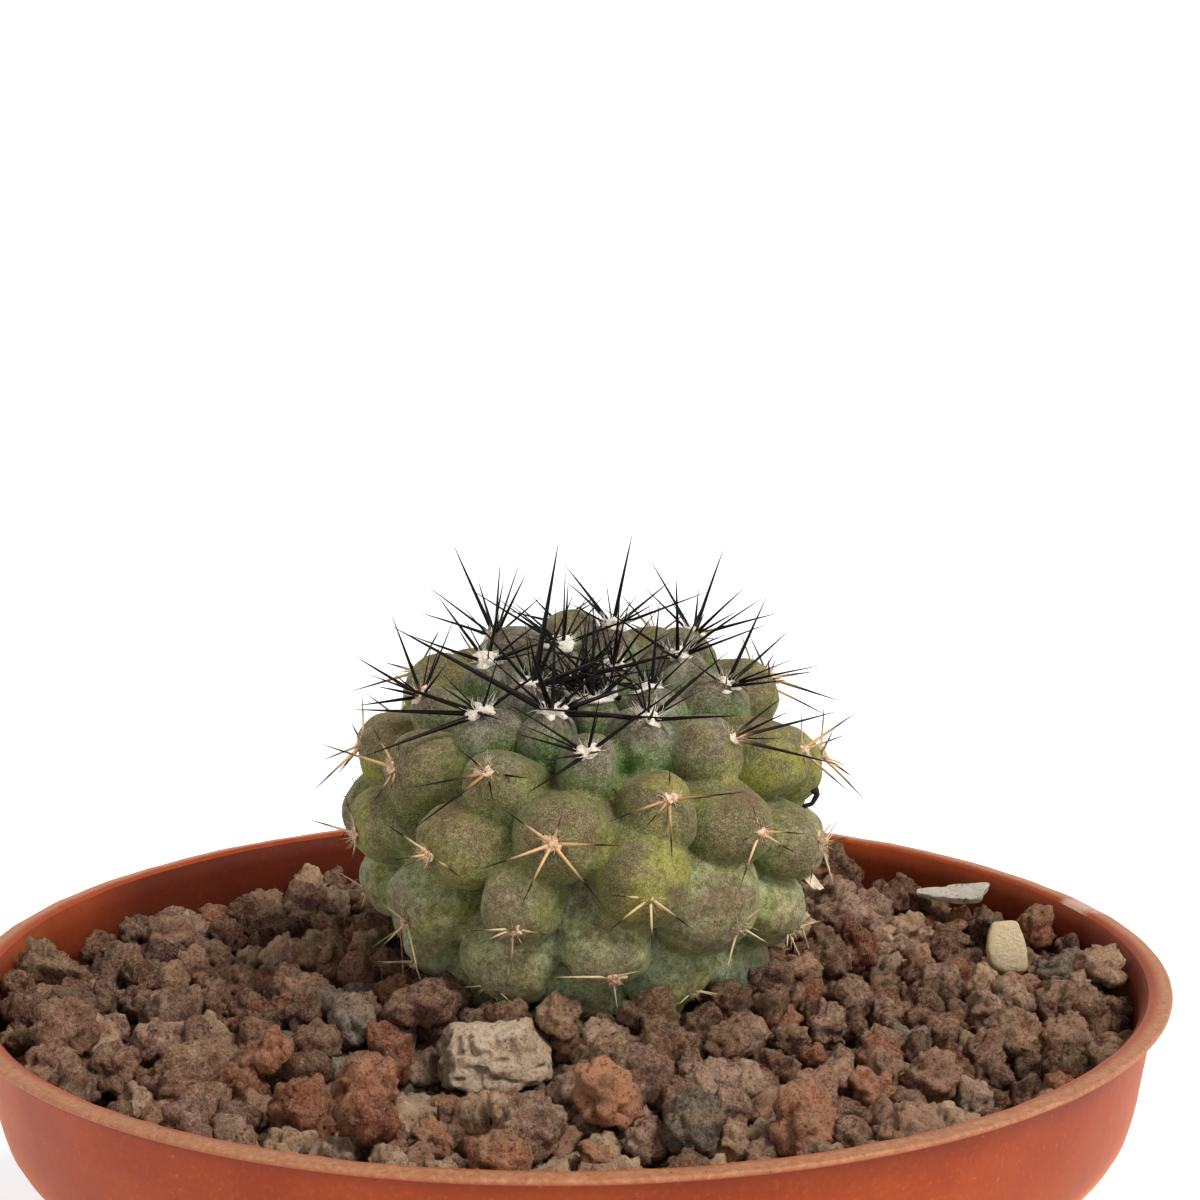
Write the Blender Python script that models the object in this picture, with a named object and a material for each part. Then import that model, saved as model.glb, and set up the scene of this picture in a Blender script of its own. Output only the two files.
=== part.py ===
"""Young copiapoa cactus growing in lava grit, in a shallow round plastic pan.

Metres, +Z up. The origin is the centre of the pan's foot, on the surface that it stands on.
The camera side of the plant is -Y. The stem is one grown body: its tubercles lie on one
spiral, each a golden angle on from the last, counted from the crown outwards.
"""

import math
import random

import bmesh
import bpy
from mathutils import Matrix, Vector
from mathutils.geometry import delaunay_2d_cdt

MM = 0.001
GAP = 0.3 * MM

# Pan
RIM_RADIUS = 50.0 * MM
PAN_HEIGHT = 30.0 * MM
LIP_WIDTH = 2.2 * MM
LIP_THICKNESS = 1.0 * MM
LIP_EDGE = 0.3 * MM
MOUTH_FLARE = 1.2 * MM
WALL = 1.1 * MM
WALL_DRAFT = math.radians(3.0)
WALL_STRAIGHT = 4.0 * MM
BOWL_ARC = 25.0 * MM
FOOT_RADIUS = 29.0 * MM
FOOT_WIDTH = 1.6 * MM
DRAIN_HOLES = 5
DRAIN_RADIUS = 2.5 * MM
DRAIN_RING = 15.0 * MM
DRAIN_SIDES = 10
PAN_SIDES = 48
ARC_STEPS = 7

# Grit
BED_TOP = 25.4 * MM
GRAINS = 260
GRAIN_REACH = 44.4 * MM
GRAIN_TURN = math.radians(137.508)
GRAIN_CORNERS = 5
GRAIN_RADII = (1.1 * MM, 1.75 * MM)
GRAIN_TOPS = (0.5 * MM, 2.2 * MM)
MOUND = 1.4 * MM
MOUND_REACH = 26.0 * MM
PIT_LEVELS = (-1.4 * MM, -0.4 * MM)
BED_STEPS = 4
SCATTER = 0.35 * MM
TILT = 0.3
GRIT_SEED = 11
CORNER_PULL = (0.62, 1.0)
TOUCHING = 1e-9

# Stones that lie apart in colour from the grit: centre, size along x, y and z, turn, seed
STONES = {
    "pale_stone": ((-6.0, -16.2, 27.4), (9.6, 5.6, 5.0), 8.0, 4),
    "cream_chip": ((38.0, 12.0, 28.0), (3.5, 2.2, 4.6), 5.0, 7),
    "white_flake": ((33.4, 27.0, 28.2), (5.4, 3.2, 1.2), -25.0, 9),
}

# Plant
GROUND = Vector((1.9 * MM, 8.7 * MM, 27.0 * MM))
LEAN = math.radians(10.5)
FIRST_ANGLE = math.radians(224.5)
GOLDEN_ANGLE = math.radians(137.82)
OVAL = 0.06
TUBERCLES = 73
# Areole number, distance from the stem's axis and height above the ground, in mm
AREOLE_CURVE = (
    (0, 0.9, 25.4),
    (3, 2.8, 26.6),
    (7, 7.1, 27.6),
    (12, 10.8, 27.6),
    (19, 15.4, 26.2),
    (28, 19.5, 22.4),
    (39, 21.6, 16.7),
    (51, 20.6, 10.2),
    (65, 17.3, 4.6),
    (75, 14.2, 1.2),
)
ROOT = ((12.4, 0.6), (11.6, -2.0), (9.0, -8.0), (5.0, -12.0))
HOLE = ((5.6, -12.6), (9.6, -8.2), (12.1, -2.2), (12.9, 0.4), (16.2, 1.6), (18.3, 4.0), (21.8, 9.0))
STEM_SIDES = 32
CORE_RINGS = (69, 59, 49, 41, 33, 26, 19, 13, 8)
CROWN_DISH = 1.5 * MM
# Depth of the grooves between the tubercles: low down, what the crown adds, and how soon that fades
GROOVE = 2.3 * MM
CROWN_GROOVE = 2.2 * MM
GROOVE_FADE = 14.0
EGG_WIDTH = 0.98
EGG_HEIGHT = 0.88
CROWN_SWELL = 0.2
SWELL_FADE = 10.0
EGG_DEPTH = 4.8 * MM
DROOP = 0.16
WOOL_RADIUS = 0.95 * MM
WOOL_HEIGHT = 0.8 * MM
CROWN_WOOL = 1.35
WOOL_SUNK = 0.4

# Spines. Areoles below CROWN are the crown's, those from AGED on are old, and from BARE_FROM bare
CROWN = 19
AGED = 49
BARE_FROM = 63
SPINE_SEED = 3
SPINE_SIDES = 3
SPINE_RADIUS = 0.3 * MM
SLENDER = 0.75
SPINE_ROOT = 1.2 * MM
SPINE_SUNK = 0.3 * MM
LONG_SPINE = 12.0 * MM
CLEAR_OF_GRIT = 3.2 * MM
# A crown areole's central spine: lift off the skin and length
CENTRAL_LIFT = (70.0, 82.0)
CENTRAL_LENGTH = (7.0, 9.5)
# Rays by age, up to the areole named first: how many, lift off the skin, longest in mm
RAYS = ((CROWN, 4, 30.0, 8.0), (AGED, 4, 22.0, 6.6), (BARE_FROM, 2, 25.0, 4.6))
RAY_SWAY = 24.0
CHANCES = 16
# The stars that face the viewer, by areole: angle from the top, lift off the skin, length in mm
STARS = {
    5: ((175, 80, 9.0), (85, 80, 12.5), (-175, 25, 13.5), (-105, 35, 13.0), (60, 30, 8.0)),
    8: ((155, 75, 9.0), (-145, 10, 10.0), (-90, 8, 11.0), (75, 25, 15.0), (-10, 50, 12.0)),
    11: ((-105, 88, 5.0), (155, 20, 9.0), (90, 30, 9.0), (-80, 15, 11.0)),
    13: ((45, 65, 6.0), (180, 5, 11.0), (-120, 15, 10.5), (-135, 5, 11.0), (-95, 8, 6.0)),
    16: ((85, 80, 6.0), (-140, 5, 7.5), (-105, 30, 7.0), (20, 40, 4.0)),
    19: ((110, 10, 11.0), (-175, 65, 7.0), (140, 5, 10.0), (95, 30, 6.0)),
    21: ((-90, 60, 3.2), (-150, 35, 7.0), (-175, 25, 9.0), (85, 5, 4.2), (140, 5, 3.0)),
    24: ((115, 40, 6.5), (-160, 10, 6.0), (-100, 5, 6.0), (-125, 15, 4.0), (0, 50, 3.0)),
    26: ((-65, 30, 4.5), (-110, 30, 7.5), (160, 10, 3.5), (15, 35, 3.0)),
    27: ((100, 35, 6.8), (160, 5, 6.0), (-105, 10, 2.5), (120, 50, 4.2)),
    29: ((-60, 40, 5.2), (20, 35, 3.0), (90, 20, 6.2), (135, 20, 7.0), (-165, 30, 6.5), (-120, 35, 6.8)),
    32: ((145, 75, 4.2), (180, 55, 4.0), (-90, 5, 2.5), (-125, 5, 5.6)),
    34: ((-35, 60, 5.0), (-130, 70, 3.2), (100, 5, 4.2)),
    37: ((-75, 15, 3.8), (-110, 30, 5.5), (-165, 40, 5.0), (130, 55, 5.0)),
    39: ((-85, 50, 4.5), (150, 15, 3.0)),
    40: ((-10, 70, 3.0), (-125, 5, 4.0)),
    42: ((-70, 45, 3.8), (-100, 50, 3.2), (85, 10, 3.2)),
    50: ((-75, 10, 5.2), (60, 15, 2.6)),
}


def clear_scene():
    """Remove every object that the file holds."""
    for ob in list(bpy.data.objects):
        bpy.data.objects.remove(ob, do_unlink=True)


def finish(name, colour, roughness):
    """A plain Principled material."""
    material = bpy.data.materials.new(name)
    material.use_nodes = True
    shader = material.node_tree.nodes["Principled BSDF"]
    shader.inputs["Base Color"].default_value = (*colour, 1.0)
    shader.inputs["Roughness"].default_value = roughness
    shader.inputs["Metallic"].default_value = 0.0
    return material


def new_object(name, bm, collection=None):
    """Put a bmesh into an object, with its faces pointing out."""
    bmesh.ops.recalc_face_normals(bm, faces=bm.faces)
    mesh = bpy.data.meshes.new(name)
    bm.to_mesh(mesh)
    bm.free()
    ob = bpy.data.objects.new(name, mesh)
    (collection or bpy.context.scene.collection).objects.link(ob)
    return ob


def lathe(name, outline, sides, collection=None, place=None):
    """Turn an outline of (radius, height) about Z. Both its ends lie on the axis."""
    bm = bmesh.new()
    rings = [[bm.verts.new((r, 0.0, z))] if r == 0.0 else [] for r, z in outline]
    for ring, (r, z) in zip(rings, outline):
        if r > 0.0:
            for k in range(sides):
                turn = math.tau * k / sides
                ring.append(bm.verts.new((r * math.cos(turn), r * math.sin(turn), z)))
    for low, high in zip(rings, rings[1:]):
        for k in range(sides):
            a = [low[k % len(low)], low[(k + 1) % len(low)]]
            b = [high[(k + 1) % len(high)], high[k % len(high)]]
            corners = list(dict.fromkeys(a + b))
            bm.faces.new(corners)
    if place:
        bmesh.ops.transform(bm, matrix=place, verts=bm.verts)
    return new_object(name, bm, collection)


def boolean(ob, operand, operation):
    """Apply one Boolean of a collection to an object, then remove the collection's objects."""
    modifier = ob.modifiers.new(operation.lower(), "BOOLEAN")
    modifier.operation = operation
    modifier.solver = "EXACT"
    modifier.operand_type = "COLLECTION"
    modifier.collection = operand
    bpy.context.view_layer.update()
    evaluated = ob.evaluated_get(bpy.context.evaluated_depsgraph_get())
    mesh = bpy.data.meshes.new_from_object(evaluated)
    mesh.name = ob.name
    ob.modifiers.clear()
    ob.data = mesh
    for tool in list(operand.objects):
        bpy.data.objects.remove(tool, do_unlink=True)
    bpy.data.collections.remove(operand)


def gather(name):
    """A collection for the pieces of one Boolean."""
    collection = bpy.data.collections.new(name)
    bpy.context.scene.collection.children.link(collection)
    return collection


def wall_foot():
    """Where the outside of the straight wall ends and the bowl's arc begins, as (radius, height)."""
    radius = RIM_RADIUS - LIP_WIDTH - WALL_STRAIGHT * math.tan(WALL_DRAFT)
    return radius, PAN_HEIGHT - LIP_THICKNESS - WALL_STRAIGHT


def bowl_centre():
    """Centre of the arc that the bowl's side follows, as (radius, height)."""
    radius, height = wall_foot()
    return radius - BOWL_ARC * math.cos(WALL_DRAFT), height + BOWL_ARC * math.sin(WALL_DRAFT)


def bowl_arc(inset, steps):
    """The bowl's side from its floor up to its straight wall, moved in by inset."""
    centre = bowl_centre()
    radius = BOWL_ARC - inset
    points = []
    quarter = math.radians(90.0)
    for k in range(steps + 1):
        angle = quarter + (WALL_DRAFT - quarter) * k / steps
        points.append((centre[0] + radius * math.cos(angle), centre[1] - radius * math.sin(angle)))
    return points


def make_pan(material):
    """The pan: a bowl with an outward lip, a foot ring and drain holes."""
    outer = bowl_arc(0.0, ARC_STEPS)
    inner = bowl_arc(WALL, ARC_STEPS)
    floor_z = outer[0][1]
    under = [(0.0, floor_z), (FOOT_RADIUS - FOOT_WIDTH, floor_z)]
    foot = [(FOOT_RADIUS - FOOT_WIDTH, 0.0), (FOOT_RADIUS, 0.0)]
    foot_top = [(r, z) for r, z in outer if r > FOOT_RADIUS]
    centre = bowl_centre()
    foot_height = centre[1] - math.sqrt(BOWL_ARC**2 - (FOOT_RADIUS - centre[0]) ** 2)
    lip_z = PAN_HEIGHT - LIP_THICKNESS
    wall_top = RIM_RADIUS - LIP_WIDTH
    mouth = wall_top - WALL
    lip = [
        (wall_top, lip_z),
        (RIM_RADIUS - LIP_EDGE, lip_z),
        (RIM_RADIUS, lip_z + LIP_EDGE),
        (RIM_RADIUS, PAN_HEIGHT - LIP_EDGE),
        (RIM_RADIUS - LIP_EDGE, PAN_HEIGHT),
        (mouth + MOUTH_FLARE, PAN_HEIGHT),
        (mouth + 0.25 * MOUTH_FLARE, PAN_HEIGHT - 0.4 * MOUTH_FLARE),
    ]
    inside = [(mouth, lip_z - 0.5 * MOUTH_FLARE)] + inner[::-1] + [(0.0, inner[0][1])]
    outline = under + foot + [(FOOT_RADIUS, foot_height)] + foot_top + lip + inside
    pan = lathe("pot", outline, PAN_SIDES)
    holes = gather("drain holes")
    for k in range(DRAIN_HOLES):
        turn = math.tau * (k + 0.5) / DRAIN_HOLES
        at = Vector((DRAIN_RING * math.cos(turn), DRAIN_RING * math.sin(turn), floor_z))
        bm = bmesh.new()
        bmesh.ops.create_cone(
            bm, cap_ends=True, segments=DRAIN_SIDES, radius1=DRAIN_RADIUS, radius2=DRAIN_RADIUS,
            depth=4.0 * WALL, matrix=Matrix.Translation(at),
        )
        new_object("drain", bm, holes)
    boolean(pan, holes, "DIFFERENCE")
    dress(pan, material)


def dress(ob, material, angle=40.0):
    """Give an object its material and smooth shading that breaks at sharp edges."""
    ob.data.materials.clear()
    ob.data.materials.append(material)
    ob.data.shade_smooth()
    ob.data.set_sharp_from_angle(angle=math.radians(angle))


def rough_stone(name, size, draw, collection, place):
    """A stone: a block whose corners are pulled in by different amounts."""
    bm = bmesh.new()
    bmesh.ops.create_cube(bm, size=1.0)
    for vert in bm.verts:
        pull = [draw.uniform(*CORNER_PULL) * side for side in size]
        vert.co = Vector((vert.co.x * pull[0], vert.co.y * pull[1], vert.co.z * pull[2]))
    bmesh.ops.triangulate(bm, faces=bm.faces)
    bmesh.ops.transform(bm, matrix=place, verts=bm.verts)
    return new_object(name, bm, collection)


def stone_place(name, grow=0.0):
    """Size and place of a named stone, grown on each side for the nest it lies in."""
    centre, size, turn, seed = STONES[name]
    place = Matrix.Translation(Vector(centre) * MM) @ Matrix.Rotation(math.radians(turn), 4, "Z")
    return [side * MM + 2.0 * grow for side in size], random.Random(seed), place


def bed_level(x, y):
    """The grit is heaped up a little round the plant."""
    away = math.hypot(x - GROUND.x, y - GROUND.y)
    return BED_TOP + MOUND * math.exp(-((away / MOUND_REACH) ** 2))


def grit_tops(draw):
    """Points of the grit's top: the worn corners of each grain, and the pits between grains."""
    points = []
    centres = []
    for k in range(GRAINS):
        reach = GRAIN_REACH * math.sqrt((k + 0.5) / GRAINS)
        turn = k * GRAIN_TURN
        x = reach * math.cos(turn) + draw.uniform(-SCATTER, SCATTER)
        y = reach * math.sin(turn) + draw.uniform(-SCATTER, SCATTER)
        centres.append(Vector((x, y)))
        height = bed_level(x, y) + draw.uniform(*GRAIN_TOPS)
        tilt = Vector((draw.uniform(-TILT, TILT), draw.uniform(-TILT, TILT)))
        first = draw.uniform(0.0, math.tau)
        for corner in range(GRAIN_CORNERS):
            angle = first + math.tau * corner / GRAIN_CORNERS
            out = Vector((math.cos(angle), math.sin(angle))) * draw.uniform(*GRAIN_RADII)
            points.append((x + out.x, y + out.y, height + out.dot(tilt)))
    _, _, triangles, *_ = delaunay_2d_cdt(centres, [], [], 0, TOUCHING)
    for corners in triangles:
        middle = sum((centres[i] for i in corners), Vector((0.0, 0.0))) / 3.0
        if middle.length < GRAIN_REACH:
            level = bed_level(middle.x, middle.y)
            points.append((middle.x, middle.y, level + draw.uniform(*PIT_LEVELS)))
    return points


def make_grit(material):
    """The grit: one body that fills the pan, with its grains raised over its whole top."""
    side = bowl_arc(WALL + GAP, BED_STEPS)[:-1] + [(wall_foot()[0] - WALL - GAP, BED_TOP)]
    turns = [math.tau * k / PAN_SIDES for k in range(PAN_SIDES)]
    bm = bmesh.new()
    rings = []
    for r, z in side:
        rings.append([bm.verts.new((r * math.cos(turn), r * math.sin(turn), z)) for turn in turns])
    bm.faces.new(rings[0])
    for low, high in zip(rings, rings[1:]):
        for k in range(PAN_SIDES):
            bm.faces.new((low[k - 1], low[k], high[k], high[k - 1]))
    verts = rings[-1] + [bm.verts.new(point) for point in grit_tops(random.Random(GRIT_SEED))]
    flat = [vert.co.to_2d() for vert in verts]
    _, _, triangles, *_ = delaunay_2d_cdt(flat, [], [], 0, TOUCHING)
    for corners in triangles:
        bm.faces.new([verts[i] for i in corners])
    bmesh.ops.triangulate(bm, faces=bm.faces)
    bed = new_object("grit", bm)
    nests = gather("nests")
    hole = [(r * MM, z * MM) for r, z in HOLE]
    hole = [(0.0, hole[0][1]), *hole, (0.0, hole[-1][1])]
    lathe("hole", hole, STEM_SIDES, nests, stem_frame())
    for name in STONES:
        size, own_draw, place = stone_place(name, GAP)
        rough_stone("nest", size, own_draw, nests, place)
    boolean(bed, nests, "DIFFERENCE")
    dress(bed, material, 20.0)


def make_stones(materials):
    """The stones that differ in colour from the grit, each in its nest."""
    for name in STONES:
        size, draw, place = stone_place(name)
        stone = rough_stone(name, size, draw, None, place)
        dress(stone, materials[name], 15.0)


def plant_frame():
    """From the plant's own frame, with its axis up, to the part's frame."""
    return Matrix.Translation(GROUND) @ Matrix.Rotation(LEAN, 4, "X")


def stem_frame():
    """The plant's frame for what is turned round the axis, which the stem's oval stretches."""
    return plant_frame() @ Matrix.Diagonal((1.0 - OVAL, 1.0 + OVAL, 1.0, 1.0))


def curve_point(number):
    """Distance from the axis and height of an areole, on a smooth curve through the table."""
    rows = AREOLE_CURVE
    number = min(max(number, 0.0), rows[-1][0] - 1e-6)
    k = max(i for i, row in enumerate(rows) if row[0] <= number)

    def slope(i, column):
        before, after = rows[max(i - 1, 0)], rows[min(i + 1, len(rows) - 1)]
        return (after[column] - before[column]) / (after[0] - before[0])

    span = rows[k + 1][0] - rows[k][0]
    t = (number - rows[k][0]) / span
    point = []
    for column in (1, 2):
        start, end = rows[k][column], rows[k + 1][column]
        out, into = slope(k, column) * span, slope(k + 1, column) * span
        point.append(
            (2 * t**3 - 3 * t**2 + 1) * start + (t**3 - 2 * t**2 + t) * out
            + (3 * t**2 - 2 * t**3) * end + (t**3 - t**2) * into
        )
    return Vector((point[0] * MM, point[1] * MM))


class Areole:
    """One areole: its place on the stem and the directions out, up and across there."""

    def __init__(self, number):
        here = curve_point(number)
        along = (curve_point(number + 0.5) - curve_point(max(number - 0.5, 0.0))).normalized()
        turn = FIRST_ANGLE + GOLDEN_ANGLE * number
        wide, deep = 1.0 - OVAL, 1.0 + OVAL
        spoke = Vector((math.cos(turn), math.sin(turn), 0.0))
        axis = Vector((0.0, 0.0, 1.0))
        out = spoke * -along[1] + axis * along[0]
        self.number = number
        self.point = Vector((spoke.x * here[0] * wide, spoke.y * here[0] * deep, here[1]))
        self.out = Vector((out.x / wide, out.y / deep, out.z)).normalized()
        self.across = axis.cross(self.out).normalized()
        self.up = self.out.cross(self.across)
        step = (curve_point(number + 1.0) - here).length
        self.cell = math.sqrt(2.0 * here[0] * step)


def make_cactus(material):
    """The stem with its tubercles, areoles and spines, one grown body."""
    frame = plant_frame()
    core = []
    for number in CORE_RINGS:
        here = curve_point(number)
        along = (curve_point(number + 0.5) - curve_point(number - 0.5)).normalized()
        depth = groove_depth(number)
        core.append((here[0] + depth * along[1], here[1] - depth * along[0]))
    root = [(r * MM, z * MM) for r, z in reversed(ROOT)]
    outline = [(0.0, root[0][1])] + root + core + [(0.0, core[-1][1] - CROWN_DISH)]
    stem = lathe("cactus", outline, STEM_SIDES, place=stem_frame())
    parts = gather("grown parts")
    draw = random.Random(SPINE_SEED)
    for number in range(TUBERCLES):
        spot = Areole(number)
        tubercle(spot, frame, parts)
        if number < AGED:
            wool(spot, frame, parts)
        for side, lift, length in spines_of(number, draw):
            spine(spot, side, lift, length * MM, frame, parts)
    boolean(stem, parts, "UNION")
    dress(stem, material)


def groove_depth(number):
    """How deep the grooves between the tubercles are: deepest at the crown, shallow below."""
    return GROOVE + CROWN_GROOVE * math.exp(-number / GROOVE_FADE)


def tubercle(spot, frame, collection):
    """An egg that stands out of the stem, with its areole just above its tip."""
    droop = DROOP * min(spot.number / AGED, 1.0)
    axis = (spot.out - droop * spot.up).normalized()
    turn = Matrix((spot.across, axis.cross(spot.across), axis)).transposed().to_4x4()
    place = frame @ Matrix.Translation(spot.point - axis * EGG_DEPTH) @ turn
    bm = bmesh.new()
    bmesh.ops.create_uvsphere(bm, u_segments=8, v_segments=5, radius=1.0)
    swell = 1.0 + CROWN_SWELL * math.exp(-spot.number / SWELL_FADE)
    size = (spot.cell * EGG_WIDTH * swell, spot.cell * EGG_HEIGHT * swell, EGG_DEPTH)
    bmesh.ops.scale(bm, vec=size, verts=bm.verts)
    bmesh.ops.transform(bm, matrix=place, verts=bm.verts)
    new_object("tubercle", bm, collection)


def wool(spot, frame, collection):
    """The small cushion of wool that an areole's spines grow from."""
    width = WOOL_RADIUS * (CROWN_WOOL if spot.number < CROWN else 1.0)
    turn = Matrix((spot.across, spot.up, spot.out)).transposed().to_4x4()
    middle = spot.point + (0.5 - WOOL_SUNK) * WOOL_HEIGHT * spot.out
    bm = bmesh.new()
    bmesh.ops.create_cone(
        bm, cap_ends=True, segments=4, radius1=width, radius2=0.5 * width, depth=WOOL_HEIGHT,
        matrix=frame @ Matrix.Translation(middle) @ turn,
    )
    new_object("wool", bm, collection)


def between(limits, share):
    """The value that lies this share of the way from the lower limit to the upper."""
    return limits[0] + (limits[1] - limits[0]) * share


def spines_of(number, draw):
    """An areole's spines as (angle round it from the stem's top, lift off the skin, length in mm)."""
    chance = [draw.random() for _ in range(CHANCES)]
    if number in STARS:
        return STARS[number]
    if number >= BARE_FROM:
        return []
    found = []
    if number < CROWN:
        lift, length = between(CENTRAL_LIFT, chance[1]), between(CENTRAL_LENGTH, chance[2])
        found.append((360.0 * chance[0], lift, length))
    rays, lift, longest = next(rule[1:] for rule in RAYS if number < rule[0])
    for k in range(rays):
        side = 360.0 * (k + 0.5) / rays + RAY_SWAY * (chance[3 + k] - 0.5)
        length = longest * (0.75 - 0.2 * math.cos(math.radians(side)) + 0.2 * chance[9 + k])
        found.append((side, lift, length))
    return found


def spine(spot, side, lift, length, frame, collection):
    """A straight faceted spine, rooted well inside its areole and bent clear of the grit."""
    side, lift = math.radians(side), math.radians(lift)
    along_skin = spot.up * math.cos(side) + spot.across * math.sin(side)
    way = along_skin * math.cos(lift) + spot.out * math.sin(lift)
    root = frame @ (spot.point - SPINE_SUNK * spot.out)
    way = (frame.to_3x3() @ way).normalized()
    lowest = GROUND.z + CLEAR_OF_GRIT
    if (root + way * length).z < lowest:
        way.z = (lowest - root.z) / length
        way.normalize()
    thick = SPINE_RADIUS * between((SLENDER, 1.0), length / LONG_SPINE)
    bm = bmesh.new()
    turn = way.to_track_quat("Z", "Y").to_matrix().to_4x4()
    start = root - way * SPINE_ROOT
    place = Matrix.Translation(start) @ turn
    ring = []
    for k in range(SPINE_SIDES):
        angle = math.tau * k / SPINE_SIDES
        ring.append(bm.verts.new(place @ Vector((thick * math.cos(angle), thick * math.sin(angle), 0.0))))
    tip = bm.verts.new(place @ Vector((0.0, 0.0, length + SPINE_ROOT)))
    bm.faces.new(ring)
    for k in range(SPINE_SIDES):
        bm.faces.new((ring[k], ring[(k + 1) % SPINE_SIDES], tip))
    new_object("spine", bm, collection)


def main():
    clear_scene()
    make_pan(finish("clay coloured plastic", (0.62, 0.2, 0.085), 0.5))
    make_grit(finish("lava grit", (0.2, 0.12, 0.1), 0.95))
    make_stones(
        {
            "pale_stone": finish("pale stone", (0.5, 0.42, 0.34), 0.9),
            "cream_chip": finish("cream stone", (0.72, 0.62, 0.45), 0.8),
            "white_flake": finish("white flake", (0.75, 0.74, 0.72), 0.8),
        }
    )
    make_cactus(finish("cactus skin", (0.17, 0.2, 0.1), 0.6))


main()
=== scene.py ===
"""Looks of a potted copiapoa: a young globular cactus in lava grit, in a clay-coloured plastic pan.

Sizes are in millimetres until a mesh is made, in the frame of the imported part: +Z up, the origin
under the middle of the pan, and the viewer's side at -Y. The plant grows by the same rule as its
solid: areoles on one spiral, counted from the crown outwards, each on the tip of a tubercle.
"""

import itertools
import logging
import math
import random
from collections.abc import Iterator, Sequence
from dataclasses import dataclass, field
from enum import Enum
from functools import lru_cache

import bmesh
import bpy
import numpy as np
from mathutils import Matrix, Vector


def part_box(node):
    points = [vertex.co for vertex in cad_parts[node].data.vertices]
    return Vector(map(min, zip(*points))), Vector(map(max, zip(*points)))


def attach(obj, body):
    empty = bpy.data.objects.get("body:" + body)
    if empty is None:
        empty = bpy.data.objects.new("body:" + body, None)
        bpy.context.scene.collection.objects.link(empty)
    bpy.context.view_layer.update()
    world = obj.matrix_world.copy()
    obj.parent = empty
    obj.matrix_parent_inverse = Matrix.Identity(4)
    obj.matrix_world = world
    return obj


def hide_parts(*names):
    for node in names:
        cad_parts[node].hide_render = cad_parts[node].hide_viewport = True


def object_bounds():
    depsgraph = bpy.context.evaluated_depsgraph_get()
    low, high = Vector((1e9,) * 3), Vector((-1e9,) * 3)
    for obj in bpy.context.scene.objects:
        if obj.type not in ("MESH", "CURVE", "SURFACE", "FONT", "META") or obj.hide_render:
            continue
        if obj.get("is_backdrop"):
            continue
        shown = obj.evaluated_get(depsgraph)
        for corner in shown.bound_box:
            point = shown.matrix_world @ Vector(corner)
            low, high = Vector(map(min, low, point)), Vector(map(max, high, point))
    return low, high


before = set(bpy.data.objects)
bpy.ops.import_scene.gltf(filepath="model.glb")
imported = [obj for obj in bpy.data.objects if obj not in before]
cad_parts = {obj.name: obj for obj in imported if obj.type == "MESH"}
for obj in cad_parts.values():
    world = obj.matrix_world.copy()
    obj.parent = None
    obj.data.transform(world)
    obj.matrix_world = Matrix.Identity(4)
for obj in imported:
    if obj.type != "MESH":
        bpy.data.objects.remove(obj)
cad_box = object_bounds()

log = logging.getLogger("copiapoa")

MM = 0.001
UP = np.array((0.0, 0.0, 1.0))
Array = np.ndarray
Pair = tuple[float, float]
Triple = tuple[float, float, float]
Colour = Triple
Stops = tuple[tuple[float, Colour], ...]
Socket = bpy.types.NodeSocket


def tone(red: int, green: int, blue: int) -> Colour:
    """Turn a colour as a screen shows it into the linear colour that a shader takes.

    Args:
        red: Red, from 0 to 255.
        green: Green, from 0 to 255.
        blue: Blue, from 0 to 255.

    Returns:
        The linear colour.
    """
    dark = 10
    return tuple(
        ((c / 255 + 0.055) / 1.055) ** 2.4 if c > dark else c / 255 / 12.92 for c in (red, green, blue)
    )


def ease(low: float, high: float, value: Array | float) -> Array | float:
    """Rise smoothly from 0 at the low value to 1 at the high one; falls if low lies above high."""
    share = np.clip((value - low) / (high - low), 0.0, 1.0)
    return share * share * (3.0 - 2.0 * share)


def unit(vectors: Array) -> Array:
    """Scale one vector, or one in each row, to a length of 1."""
    return vectors / np.maximum(np.linalg.norm(vectors, axis=-1, keepdims=True), 1e-12)


def between(grid: Array, cell: Array, part: Array) -> Array:
    """Read a grid between its points, from the eight values round each place.

    Args:
        grid: The values, which start again beyond the grid's end.
        cell: Number of the grid's point before each place, along each side.
        part: Share of the way to the next one, along each side.

    Returns:
        One value for each place.
    """
    total = np.zeros(len(cell))
    for corner in itertools.product((0, 1), repeat=3):
        weight = np.prod(np.where(corner, part, 1.0 - part), axis=1)
        total += weight * grid[tuple(((cell + corner) % grid.shape).T)]
    return total


def tumbled(rng: np.random.Generator) -> Array:
    """Draw a turn in any direction, as a 3 by 3 matrix."""
    turn = np.linalg.qr(rng.normal(size=(3, 3)))[0]
    return turn * np.sign(np.linalg.det(turn))


def node_box(name: str) -> tuple[Array, Array]:
    """The lowest and the highest corner of a node's box, in mm."""
    low, high = (np.array(corner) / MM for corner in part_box(name))
    return low, high


def placed(name: str, data: bpy.types.ID) -> bpy.types.Object:
    """Put a mesh, a light or a camera into the scene.

    Args:
        name: Name of the new object.
        data: What it shows.

    Returns:
        The object.
    """
    item = bpy.data.objects.new(name, data)
    bpy.context.scene.collection.objects.link(item)
    return item


class Ripple:
    """Smooth seeded noise for moving points about, with values from 0 to 1."""

    def __init__(self, seed: int, size: int = 32) -> None:
        """Draw the lattice; beyond its size the noise repeats."""
        self.lattice = np.random.default_rng(seed).random((size, size, size))

    def at(self, points: Array) -> Array:
        """Read the noise at points given in lattice steps, one point in each row."""
        cell = np.floor(points).astype(int)
        return between(self.lattice, cell, ease(0.0, 1.0, points - cell))


LUMPS, PORES = Ripple(51), Ripple(52)


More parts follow.
